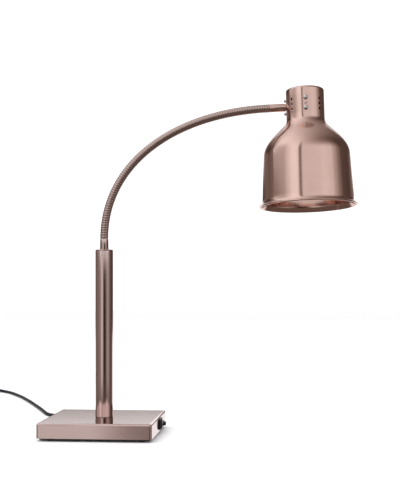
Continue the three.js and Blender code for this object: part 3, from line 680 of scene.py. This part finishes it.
def upper_ferrule():
    place = HEAD @ Matrix.Rotation(math.pi / 2, 4, "Y")
    profile = rounded([
        (0.0029, -ARM_END - 0.006), (0.0051, -ARM_END - 0.006, 0.0004), (0.0051, -ARM_END),
        (0.0071, -ARM_END, 0.0005), (0.0071, -0.0349, 0.0003), (0.005, -0.0349), (0.005, -0.024, 0.0004),
        (0.0029, -0.024),
    ], 4)
    piece = make_object("upper_ferrule", turned(profile, place, 64))
    ferrule_copper = brushed_copper("brushed_copper_ferrule", COPPER, place)
    settle(piece, "head", ferrule_copper, ["ferrule_upper"])


# ---- Gooseneck ----
HOSE_RADIUS = 0.0073
HOSE_BORE = 0.0056
HOSE_RISE = 0.1343
HOSE_REACH = 0.1782
HOSE_STUB = 0.024
RIB_PITCH = 0.00446
RIB_DEPTH = 0.0006
RIB_ROUNDING = 0.94
HOSE_SIDES = 32
RINGS_PER_RIB = 8


class HoseLine:
    """The gooseneck's centre line, read by the distance along it."""

    def __init__(self):
        ferrule_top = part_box("ferrule_lower")[1].z - 0.006
        start = by_column(0, 0, ferrule_top)
        end = HEAD @ Vector((-ARM_END, 0, 0))
        along = (HEAD.to_3x3() @ Vector((1, 0, 0))).normalized()
        lifted = start + Vector((0, 0, HOSE_RISE))
        curve = [start, *bezier(start, lifted, end - along * HOSE_REACH, end, 1500)]
        self.points = curve
        self.distances = [0.0]
        for a, b in zip(curve, curve[1:]):
            self.distances.append(self.distances[-1] + (b - a).length)
        self.length = self.distances[-1]

    def at(self, distance):
        """The point and the direction at a distance from the ferrule."""
        low, high = 0, len(self.points) - 2
        while low < high:
            middle = (low + high + 1) // 2
            if self.distances[middle] <= distance:
                low = middle
            else:
                high = middle - 1
        a, b = self.points[low], self.points[low + 1]
        share = (distance - self.distances[low]) / (self.distances[low + 1] - self.distances[low])
        return a + (b - a) * share, (b - a).normalized()


def hose_ring(bm, line, distance, radius_at, rib_layer=None):
    point, direction = line.at(distance)
    side = Vector((0, 1, 0))
    up = direction.cross(side)
    ring = []
    for j in range(HOSE_SIDES):
        angle = 2 * math.pi * j / HOSE_SIDES
        radius, rib = radius_at(distance, j / HOSE_SIDES)
        vert = bm.verts.new(point + (side * math.sin(angle) + up * math.cos(angle)) * radius)
        if rib_layer:
            vert[rib_layer] = rib
        ring.append(vert)
    return ring


def ribbed(distance, turn):
    """Rounded ribs in a helix: the radius, and the height up out of the groove, at most 1."""
    across = (distance / RIB_PITCH + turn) % 1 * 2 - 1
    height = math.sqrt(1 - RIB_ROUNDING * across * across)
    return HOSE_RADIUS - RIB_DEPTH * (1 - height), height


def plain_bore(_distance, _turn):
    return HOSE_BORE, 0


def hose_piece(line, start, end):
    bm = bmesh.new()
    # The rib height per vertex feeds the hose material's painted shade in the grooves.
    rib_layer = bm.verts.layers.float.new("rib")
    steps = max(4, round((end - start) / RIB_PITCH * RINGS_PER_RIB))
    outer = [hose_ring(bm, line, start + (end - start) * i / steps, ribbed, rib_layer)
             for i in range(steps + 1)]
    coarse = 16
    inner = [hose_ring(bm, line, start + (end - start) * i / coarse, plain_bore, rib_layer)
             for i in range(coarse + 1)]
    rings = outer + list(reversed(inner))
    for a, b in zip(rings, [*rings[1:], rings[0]]):
        for j in range(HOSE_SIDES):
            k = (j + 1) % HOSE_SIDES
            bm.faces.new((a[j], a[k], b[k], b[j]))
    return bm


def gooseneck():
    """Six lengths that meet where a link is stiff, each with its pivot in its middle."""
    line = HoseLine()
    bends = [joint for joint in frame["joints"] if joint["name"].startswith("neck_")]
    spacing = (line.length - 2 * HOSE_STUB) / (len(bends) - 1)
    material = hose_copper()
    for i, joint in enumerate(bends):
        start = 0.0003 if i == 0 else HOSE_STUB + (i - 0.5) * spacing
        end = line.length - 0.0003 if i == len(bends) - 1 else HOSE_STUB + (i + 0.5) * spacing
        piece = make_object(f"gooseneck_length_{i + 1}", hose_piece(line, start, end), 50)
        piece.data.materials.append(material)
        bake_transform(piece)
        stands_for = [f"gooseneck_{i}"]
        if i == len(bends) - 1:
            stands_for.append(f"gooseneck_{i + 1}")
        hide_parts(*stands_for)


# ---- Head ----
NECK_R = 0.0344
RIM_BEAD = 0.0016
BELL_SHEET = 0.001
VENT_SPACING = 0.0092
ARM_SCREW_RISE = 0.0117


def bell_profile():
    """The sheet's closed outline: down the outside, round the rolled rim and up the inside."""
    outer = [Vector(in_mm(0, 31)), Vector(in_mm(29.6, 31))]
    outer += arc(in_mm(30.4, 27), 0.004, 90, 0, 10)
    outer += [Vector(in_mm(34.4, z)) for z in (14, -14, -22)]
    outer += bezier(in_mm(34.4, -22), in_mm(34.4, -33), in_mm(45.9, -40.8), in_mm(56, -50.5), 14)
    outer += bezier(in_mm(56, -50.5), in_mm(67.5, -61.5), in_mm(77, -73), in_mm(77.5, -90), 14)
    outer += [Vector(in_mm(77.5 + 3.8 * share, -90 - 78 * share)) for share in (0.08, 0.35, 0.65, 0.94, 1)]
    outer += bezier(in_mm(81.3, -168), in_mm(81.6, -172.5), in_mm(82.6, -175.9), in_mm(85.05, -176.9), 8)
    bead = arc(in_mm(85.6, -178.4), RIM_BEAD, 90, -170, 18)
    inner = inner_face(outer[:-4], BELL_SHEET)
    return [tuple(p) for p in outer + bead + list(reversed(inner))]


def bell_shade():
    bell = make_object("bell_shade", turned(bell_profile(), HEAD, 160))
    holes = [(azimuth, row * VENT_SPACING, 0.00225) for azimuth in (45, 135, 225, 315) for row in (-1, 0, 1)]
    holes += [(azimuth, row * VENT_SPACING, 0.0022) for azimuth in (90, 270) for row in (-1, 1)]
    holes += [(180, side * ARM_SCREW_RISE, 0.0017) for side in (-1, 1)]
    holes += [(180, 0, 0.0053), (270, 0, 0.0017)]
    cutters = []
    for azimuth, height, radius in holes:
        angle = math.radians(azimuth)
        direction = HEAD.to_3x3() @ Vector((math.cos(angle), math.sin(angle), 0))
        cutters.append(rod(HEAD @ Vector((0, 0, height)), direction, radius, 0.025, 0.04, 32))
    cut_away(bell, cutters)
    settle(bell, "head", copper_head, ["shade"])


def pan_head(name, node, body, origin, direction, shank, length, head, height):
    """A domed screw with a cross recess."""
    place = aimed(origin, direction)
    dome = [(head, 0.25 * height)]
    for i in range(1, 9):
        angle = math.pi / 2 * i / 8
        dome.append((head * math.cos(angle), height * (0.25 + 0.75 * math.sin(angle))))
    dome[-1] = (0, height)
    profile = [(0, -length), (shank * 0.7, -length), (shank, -length + shank * 0.4), (shank, 0),
               (head * 0.94, 0),
               (head, 0.06 * height), *dome]
    screw = make_object(name, turned(profile, place, 40))
    arm, blade, depth = head * 0.45, head * 0.1, height * 0.4
    for turn in (20, 110):
        cross = place @ Matrix.Rotation(math.radians(turn), 4, "Z")
        bar = prism(rectangle(2 * arm, 2 * blade, blade * 0.5, 2), height - depth, height + 0.001, 0, cross)
        cut_away(screw, [bar])
    settle(screw, body, nickel, [node])


def head_screws():
    level = {"upper": 1, "lower": -1}
    turn = HEAD.to_3x3()
    for place, side in (("front", -1), ("back", 1)):
        for name, row in level.items():
            origin = HEAD @ Vector((0, side * (NECK_R + 0.0003), row * VENT_SPACING))
            pan_head(f"screw_{place}_{name}", f"bracket_screw_{place}_{name}", "head", origin,
                     turn @ Vector((0, side, 0)), 0.0019, 0.0065, 0.004, 0.0031)
    for name, row in level.items():
        origin = HEAD @ Vector((-NECK_R - 0.0003, 0, row * ARM_SCREW_RISE))
        pan_head(f"screw_arm_{name}", f"arm_screw_{name}", "head", origin, turn @ Vector((-1, 0, 0)),
                 0.0014, 0.0075, 0.0029, 0.0034)
    place = aimed(HEAD @ Vector((0, -NECK_R - 0.0003, 0)), turn @ Vector((0, -1, 0)))
    profile = [(0, -0.0046), (0.0014, -0.0046), (0.0014, 0)]
    profile += [(0.0022 * math.cos(a), 0.0014 * math.sin(a)) for a in [math.pi / 2 * i / 8 for i in range(8)]]
    rivet = make_object("neck_rivet", turned([*profile, (0, 0.0014)], place, 40))
    settle(rivet, "head", nickel, ["bracket_rivet"])


def lamp_and_holder():
    line = [in_mm(11.6, -11.7), in_mm(11.6, -22.7)]
    outer = [Vector(p) for p in line]
    outer += bezier(line[1], in_mm(12.5, -26), in_mm(16, -28), in_mm(17, -32), 6)
    outer += bezier(in_mm(17, -32), in_mm(20, -52), in_mm(62.5, -84), in_mm(62.5, -118), 22)
    outer += bezier(in_mm(62.5, -118), in_mm(62.5, -142), in_mm(35, -162), in_mm(0, -162), 22)
    glass = 0.0012
    inner = inner_face(outer, glass)
    inner.append(Vector((0, outer[-1].y + glass)))
    profile = [tuple(p) for p in list(reversed(outer)) + inner]
    bulb = make_object("reflector_lamp", turned(profile, HEAD, 96))
    settle(bulb, "head", frosted_lamp(), ["lamp_glass"])
    holder = rounded([
        (0, 0.008), (0.0102, 0.008), (0.0142, 0.004, 0.001), (0.0142, -0.025), (0.0175, -0.025, 0.0012),
        (0.0175, -0.012, 0.0006), (0.0168, -0.011, 0.0006), (0.0168, -0.008, 0.0006),
        (0.0175, -0.007, 0.0006),
        (0.0175, 0.018, 0.002), (0.0145, 0.021, 0.001), (0.005, 0.021), (0.005, 0.0292), (0, 0.0292),
    ], 3)
    piece = make_object("porcelain_holder", turned(holder, HEAD, 64))
    settle(piece, "head", porcelain, ["lampholder"])


# ---- Switch and overload button ----
def switch():
    low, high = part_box("switch_housing")
    pocket_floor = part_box("switch_rocker")[0].x - 0.0006
    centre = (low + high) / 2
    face_x = cover_high.x
    proud = high.x - face_x
    facing = aimed((face_x, centre.y, centre.z), (1, 0, 0))
    width = high.z - low.z
    depth = high.y - low.y
    # The aiming turn lays the outline's first axis along either Y or Z, so the outline follows it.
    first = facing.to_3x3() @ Vector((1, 0, 0))
    size = (depth, width) if abs(first.y) > 0.5 else (width, depth)
    bezel = prism(rectangle(*size, 0.0016, 5), 0.0003, proud, 0.0007, facing)
    body_size = [value - 0.0022 for value in size]
    body = prism(rectangle(*body_size, 0.001, 3), low.x - face_x, 0.0006, 0.0004, facing)
    housing = make_object("switch_frame", bezel)
    combine(housing, "UNION", body)
    pocket = block((pocket_floor, centre.y - 0.0128, centre.z - 0.0082),
                   (face_x + 0.02, centre.y + 0.0128, centre.z + 0.0082))
    cut_away(housing, [pocket])
    settle(housing, "base", plastic, ["switch_housing"])


def rocker():
    """Two hollowed faces that meet in a shallow V, with the front end out."""
    joint = next(joint for joint in frame["joints"] if joint["name"] == "switch_rock")
    low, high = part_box("switch_rocker")
    reach, crown, throw = 0.0114, 0.003, math.radians(10)
    tip = crown + reach * math.tan(throw)
    swing = math.hypot(reach, tip)
    tip_angle = math.degrees(math.atan2(tip, reach))
    outline = [Vector((0, -0.004))]
    outline += arc((0, 0), swing, -7, tip_angle, 8)
    for i in range(1, 20):
        x = reach * (1 - i / 10)
        hollow = 0.0007 * math.sin(math.pi * abs(x) / reach)
        outline.append(Vector((x, crown + abs(x) * math.tan(throw) - hollow)))
    outline += arc((0, 0), swing, 180 - tip_angle, 187, 8)
    half = (high.z - low.z) / 2
    place = Matrix.Translation(joint["pos_m"]) @ Matrix.Rotation(throw - math.pi / 2, 4, "Z")
    key = make_object("rocker_key", prism(outline, -half, half, 0.0005, place, 3))
    settle(key, "rocker", plastic, ["switch_rocker"])


def overload_button():
    nut_low, nut_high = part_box("reset_nut")
    centre = (nut_low + nut_high) / 2
    place = aimed((cover_high.x, centre.y, centre.z), (1, 0, 0))
    thread_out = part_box("reset_body")[1].x - cover_high.x
    bush = [(0.0042, -0.012)]
    pitch = 0.0008
    turns = int((thread_out + 0.002) / pitch)
    bush.append((0.0049, -0.012))
    for i in range(2 * turns):
        height = -0.002 + i * pitch / 2
        bush.append((0.0052 if i % 2 else 0.0048, height))
    bush += [(0.0048, thread_out), (0.0042, thread_out)]
    collar = make_object("breaker_bush", turned(bush, place, 48))
    settle(collar, "base", plastic, [])
    corner = 0.013 / math.sqrt(3)
    sixths = [math.pi / 3 * i for i in range(6)]
    hexagon = [Vector((corner * math.cos(turn), corner * math.sin(turn))) for turn in sixths]
    nut = make_object("breaker_nut", prism(hexagon, 0.0003, nut_high.x - cover_high.x, 0.0003, place, 2))
    cut_away(nut, [rod((cover_high.x, centre.y, centre.z), (1, 0, 0), 0.0055, -0.002, 0.01)])
    settle(nut, "base", nickel, ["reset_nut"])
    button_low, button_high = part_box("reset_button")
    radius = (button_high.y - button_low.y) / 2
    inside, front = button_low.x - cover_high.x, button_high.x - cover_high.x
    profile = rounded([(0, inside), (radius, inside, 0.0003), (radius, front, 0.0009), (0.002, front, 0.0005),
                       (0.0012, front - 0.0003, 0.0004), (0, front - 0.0003)], 4)
    button = make_object("breaker_button", turned(profile, place, 48))
    settle(button, "reset_button", plastic, ["reset_button"])


# ---- Cord, gland, tie and plug ----
def cord_gland():
    low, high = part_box("cable_gland")
    centre = (low + high) / 2
    face_y = cover_high.y
    mouth = high.y - face_y
    inside = low.y - face_y
    profile = [(0.0034, inside), (0.007, inside), (0.007, -0.0018), (0.0064, -0.0018), (0.0064, 0.0003)]
    profile += [(0.008, 0.0003), (0.008, 0.0018), (0.0076, 0.0024), (0.0066, 0.0028)]
    slots = 6
    for i in range(slots):
        base = 0.0032 + (mouth - 0.0052) * i / slots
        pitch = (mouth - 0.0052) / slots
        for share, sunk in ((0.12, 0), (0.52, 0), (0.58, 0.0007), (0.94, 0.0007), (1.0, 0)):
            radius = 0.0064 - 0.0018 * (i + share) / slots - sunk
            profile.append((radius, base + share * pitch))
    profile += [(0.0046, mouth - 0.0012), (0.0043, mouth - 0.0003), (0.0039, mouth), (0.0034, mouth)]
    gland = make_object("strain_relief", turned(profile, aimed((centre.x, face_y, centre.z), (0, 1, 0)), 48))
    settle(gland, "base", rubber, ["cable_gland"])
    return gland


def cable_tie():
    """A flat band round the coil's section, with its small head."""
    low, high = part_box("cord_tie")
    centre = (low + high) / 2
    out = Vector((centre.x - COIL.x, centre.y - COIL.y, 0)).normalized()
    side = Vector((-out.y, out.x, 0))
    middle = COIL + out * ((COIL_OUTER_TURN + COIL_INNER_TURN) / 2)
    middle.z = (low.z + high.z) / 2
    place = Matrix((
        (out.x, 0, side.x, middle.x),
        (out.y, 0, side.y, middle.y),
        (0, 1, 0, middle.z),
        (0, 0, 0, 1),
    ))
    wide = (COIL_OUTER_TURN - COIL_INNER_TURN) + CORD_DIAMETER + 0.003
    tall = high.z - low.z
    band = make_object("cord_band", prism(rectangle(wide, tall, 0.0045, 8), -0.004, 0.004, 0.0003, place, 2))
    hole = prism(rectangle(wide - 0.002, tall - 0.002, 0.0037, 8), -0.008, 0.008, 0, place, 2)
    cut_away(band, [hole])
    settle(band, "base", rubber, ["cord_tie"])
    return band


def plug():
    low, high = plug_low, plug_high
    centre = (low + high) / 2
    front = low.y
    boot_start = high.y - 0.025
    width, height = high.x - low.x, high.z - low.z
    length = boot_start - front
    half = width / 2
    outline = [Vector((-half, 0)), Vector((half, 0)), Vector((half, length * 0.45))]
    outline += bezier((half, length * 0.45), (half * 0.95, length * 0.75), (half * 0.8, length * 0.92),
                      (half * 0.45, length), 8)
    mirrored = [Vector((-p.x, p.y)) for p in reversed(outline[3:])]
    outline += mirrored + [Vector((-half, length * 0.45))]
    place = Matrix.Translation((centre.x, front, centre.z))
    grip = make_object("plug_grip", prism(outline, -height / 2, height / 2, 0.0028, place, 5))
    notches = []
    for side in (-1, 1):
        for i in range(5):
            y = front + length * (0.42 + 0.11 * i)
            spot = (centre.x + side * (half + 0.0005 - 0.0004 * i * i / 4), y, centre.z)
            notches.append(rod(spot, (0, 0, 1), 0.0009, -0.006, 0.006, 20))
    cut_away(grip, notches)
    settle(grip, "base", plastic, ["plug_body"])
    boot = [(0.0034, -0.002), (0.0078, -0.002), (0.0076, 0.002)]
    for i in range(6):
        root = 0.0074 - 0.0028 * i / 6
        step = 0.0036
        for share, sunk in ((0.0, 0), (0.5, 0), (0.58, 0.0007), (0.94, 0.0007)):
            boot.append((root - sunk - 0.0028 / 6 * share, 0.003 + step * (i + share)))
    boot += [(0.0046, 0.0247), (0.0042, 0.025), (0.0034, 0.025)]
    sleeve_place = aimed((centre.x, boot_start, centre.z), (0, 1, 0))
    relief = make_object("plug_boot", turned(boot, sleeve_place, 40))
    settle(relief, "base", plastic, [])
    pieces = [grip, relief]
    for side in ("left", "right"):
        blade_low, blade_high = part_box(f"plug_blade_{side}")
        tall, thick = blade_high.z - blade_low.z, blade_high.x - blade_low.x
        middle = (blade_low + blade_high) / 2
        blade_length = blade_high.y - blade_low.y
        pin_outline = rounded([(-tall / 2, 0), (tall / 2, 0), (tall / 2, blade_length, 0.0018),
                               (-tall / 2, blade_length, 0.0018)], 4)
        pin_place = Matrix((
            (0, 0, 1, middle.x),
            (0, -1, 0, blade_high.y),
            (1, 0, 0, middle.z),
            (0, 0, 0, 1),
        ))
        pin = make_object(f"plug_pin_{side}", prism(pin_outline, -thick / 2, thick / 2, 0.0003, pin_place, 2))
        settle(pin, "base", nickel, [f"plug_blade_{side}"])
        pieces.append(pin)
    earth_low, earth_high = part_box("plug_earth_pin")
    radius = (earth_high.x - earth_low.x) / 2
    middle = (earth_low + earth_high) / 2
    length = earth_high.y - earth_low.y
    profile = [(0, 0), (radius, 0), (radius, length - radius)]
    profile += [tuple(p) for p in arc((0, length - radius), radius, 0, 84, 8)] + [(0, length)]
    earth = make_object("plug_pin_earth",
                        turned(profile, aimed((middle.x, earth_high.y, middle.z), (0, -1, 0)), 32))
    settle(earth, "base", nickel, ["plug_earth_pin"])
    return [*pieces, earth]


def mains_cord(with_pieces):
    data = bpy.data.curves.new("mains_lead", "CURVE")
    data.dimensions = "3D"
    data.bevel_depth = CORD_DIAMETER / 2
    data.bevel_resolution = 5
    data.use_fill_caps = True
    spline = data.splines.new("POLY")
    spline.points.add(len(cord_line) - 1)
    for point, place in zip(spline.points, cord_line):
        point.co = (*place, 1)
    spline.use_smooth = True
    lead = bpy.data.objects.new("mains_lead", data)
    bpy.context.scene.collection.objects.link(lead)
    data.materials.append(sheath)
    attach(lead, "base")
    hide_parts("mains_cord", "cord_coil", "cord_tail")
    tuple(cord_line[0])


# ---- CAD nodes that stay as they are ----
def dress_inner_nodes():
    kinds = {
        "bottom_plate": powder_coat, "counterweight": iron, "column_nipple": brass, "column_nut": zinc,
        "reset_body": plastic, "terminal_block": block_plastic, "lead_supply": sheath, "lead_switch": sleeve,
        "lead_column": sleeve, "lead_head": sleeve, "arm_plate": zinc, "arm_nut": zinc,
        "socket_bracket": zinc,
        "lamp_cap": brass,
    }
    for i in range(1, 6):
        kinds[f"lead_neck_{i}"] = sleeve
    for name, material in kinds.items():
        node = frame["nodes"][name]
        node.data.materials.clear()
        node.data.materials.append(material)


def plate_screws():
    for i in (1, 2):
        low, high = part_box(f"plate_screw_{i}")
        origin = Vector(((low.x + high.x) / 2, (low.y + high.y) / 2, low.z + 0.0018))
        pan_head(f"plate_bolt_{i}", f"plate_screw_{i}", "base", origin, (0, 0, -1), 0.002, high.z - origin.z,
                 0.0042, 0.0018)


base_shell()
feet()
column_pieces()
upper_ferrule()
gooseneck()
bell_shade()
head_screws()
lamp_and_holder()
switch()
rocker()
overload_button()
mains_cord([cord_gland(), cable_tie(), *plug()])
plate_screws()
dress_inner_nodes()


# ---- Studio ----
FLOOR_REACH = 12


def floor():
    bm = bmesh.new()
    signs = [(-1, -1), (1, -1), (1, 1), (-1, 1)]
    bm.faces.new([bm.verts.new(by_column(x * FLOOR_REACH, y * FLOOR_REACH, -0.0001)) for x, y in signs])
    plane = make_object("floor", bm)
    nodes = Surface("floor")
    paper = nodes.noise(nodes.here(), 300, 3)
    nodes.set(Base_Color=nodes.mix(paper, (0.86, 0.86, 0.87), (0.89, 0.89, 0.90)), Roughness=0.9)
    plane.data.materials.append(nodes.material)
    plane.visible_glossy = False


# Brightness that the metal reflects, by degrees round from the front towards the shade's side: what the
# shade meets, a little above the level, and what the column meets, at the level and just below it.
STUDIO_HIGH = [
    (-180, 1.25), (-166, 1.1), (-150, 0.16), (-122, 0.12), (-112, 0.25), (-101, 0.80), (-80, 0.70),
    (-66, 0.68),
    (-54, 0.88), (-42, 1.08), (-31, 1.08), (-25, 0.94), (-22, 0.30), (-18, 0.32), (-14, 0.84), (27, 0.86),
    (43, 0.90), (64, 0.84), (78, 0.58), (90, 0.34), (102, 0.16), (150, 0.13), (166, 1.1), (180, 1.25),
]
STUDIO_LOW = [
    (-180, 1.25), (-166, 1.1), (-150, 0.3), (-115, 0.25), (-91, 0.28), (-56, 0.34), (-41, 0.40), (-34, 0.56),
    (-26, 0.70), (-12, 0.72), (-4, 0.40), (3, 0.12), (12, 0.05), (22, 0.06), (30, 0.18), (40, 0.36),
    (53, 0.52),
    (68, 0.44), (83, 0.29), (101, 0.16), (121, 0.12), (150, 0.3), (166, 1.1), (180, 1.25),
]
FLOOR_GLOW = 0.2
BACK_FLOOR_GLOW = 1.0
BACK_WALL_FOOT = 0.15
BACK_WALL_GLOW = 0.10
CEILING_GLOW = 0.66
CEILING_FALL = 0.75
SHADOW_TINT = (0.62, 0.42, 0.34)


def band_ramp(nodes, stops, around):
    made = nodes.node("ShaderNodeValToRGB", {0: around})
    made.color_ramp.interpolation = "EASE"
    elements = made.color_ramp.elements
    while len(elements) < len(stops):
        elements.new(0.5)
    for element, (degrees, level) in zip(elements, stops):
        element.position = (degrees + 180) / 360
        element.color = (level, level, level, 1)
    return made.outputs["Color"]


def product_of(nodes, *factors):
    product = factors[0]
    for factor in factors[1:]:
        product = nodes.math("MULTIPLY", product, factor)
    return product


def studio_world():
    """Plain white all round, except that metal sees softboxes with darker gaps between them.

    Heights here are sines of the angle above the level.
    """
    world = bpy.data.worlds.new("studio")
    bpy.context.scene.world = world
    world.use_nodes = True
    world.cycles.sampling_method = "NONE"
    world.node_tree.nodes.clear()
    nodes = Nodes(world.node_tree)
    ease = nodes.ease

    parts = nodes.node("ShaderNodeSeparateXYZ", {0: nodes.heading("Generated")}).outputs
    across, away, height = parts["X"], parts["Y"], parts["Z"]
    azimuth = nodes.math("ARCTAN2", across, nodes.math("MULTIPLY", away, -1))
    around = nodes.spread(azimuth, -math.pi, math.pi)
    rear = nodes.math("MAXIMUM", away, 0)
    behind = ease(rear, 0.6, 0.8)
    bands = nodes.mix(ease(height, 0.17, 0.24), band_ramp(nodes, STUDIO_LOW, around),
                      band_ramp(nodes, STUDIO_HIGH, around))
    ceiling = nodes.math("SUBTRACT", CEILING_GLOW, nodes.math("MULTIPLY", across, CEILING_FALL))
    middle = ease(nodes.math("ABSOLUTE", across), 0.28, 0.16)
    wall = product_of(nodes, middle, ease(rear, 0.5, 0.7), ease(height, 0.25, 0.4))
    for where, level in (
        (ease(height, 0.36, 0.92), ceiling),
        (wall, (BACK_WALL_GLOW,) * 3),
        (ease(height, -0.17, -0.30), (FLOOR_GLOW,) * 3),
        (product_of(nodes, behind, ease(height, 0.141, 0.123)), (BACK_WALL_FOOT,) * 3),
        (product_of(nodes, behind, ease(height, -0.02, -0.06)), (BACK_FLOOR_GLOW,) * 3),
    ):
        bands = nodes.mix(where, bands, level)
    tint = nodes.mix(nodes.spread(bands, 0, 0.9), SHADOW_TINT, (1, 1, 1))
    studio = nodes.node("ShaderNodeBackground", {"Color": nodes.mix(1, bands, tint, "MULTIPLY")}).outputs[0]
    plain = nodes.node("ShaderNodeBackground", {"Color": (1, 1, 1, 1), "Strength": 1.2}).outputs[0]
    glossy = nodes.node("ShaderNodeLightPath").outputs["Is Glossy Ray"]
    seen = nodes.node("ShaderNodeMixShader", {0: glossy, 1: plain, 2: studio}).outputs[0]
    nodes.node("ShaderNodeOutputWorld", {"Surface": seen})


def softbox(name, place, target, size, power):
    data = bpy.data.lights.new(name, "AREA")
    data.shape = "RECTANGLE"
    data.size, data.size_y = size
    data.energy = power
    box = bpy.data.objects.new(name, data)
    bpy.context.scene.collection.objects.link(box)
    box.location = place
    box.rotation_euler = (Vector(target) - Vector(place)).to_track_quat("-Z", "Y").to_euler()
    box.visible_camera = False
    box.visible_glossy = False


floor()
studio_world()
softbox("top_softbox", by_column(-0.5, -0.3, 1.9), by_column(0.1, 0, 0), (1.4, 1.4), 14)
bpy.context.scene.view_settings.view_transform = "Standard"
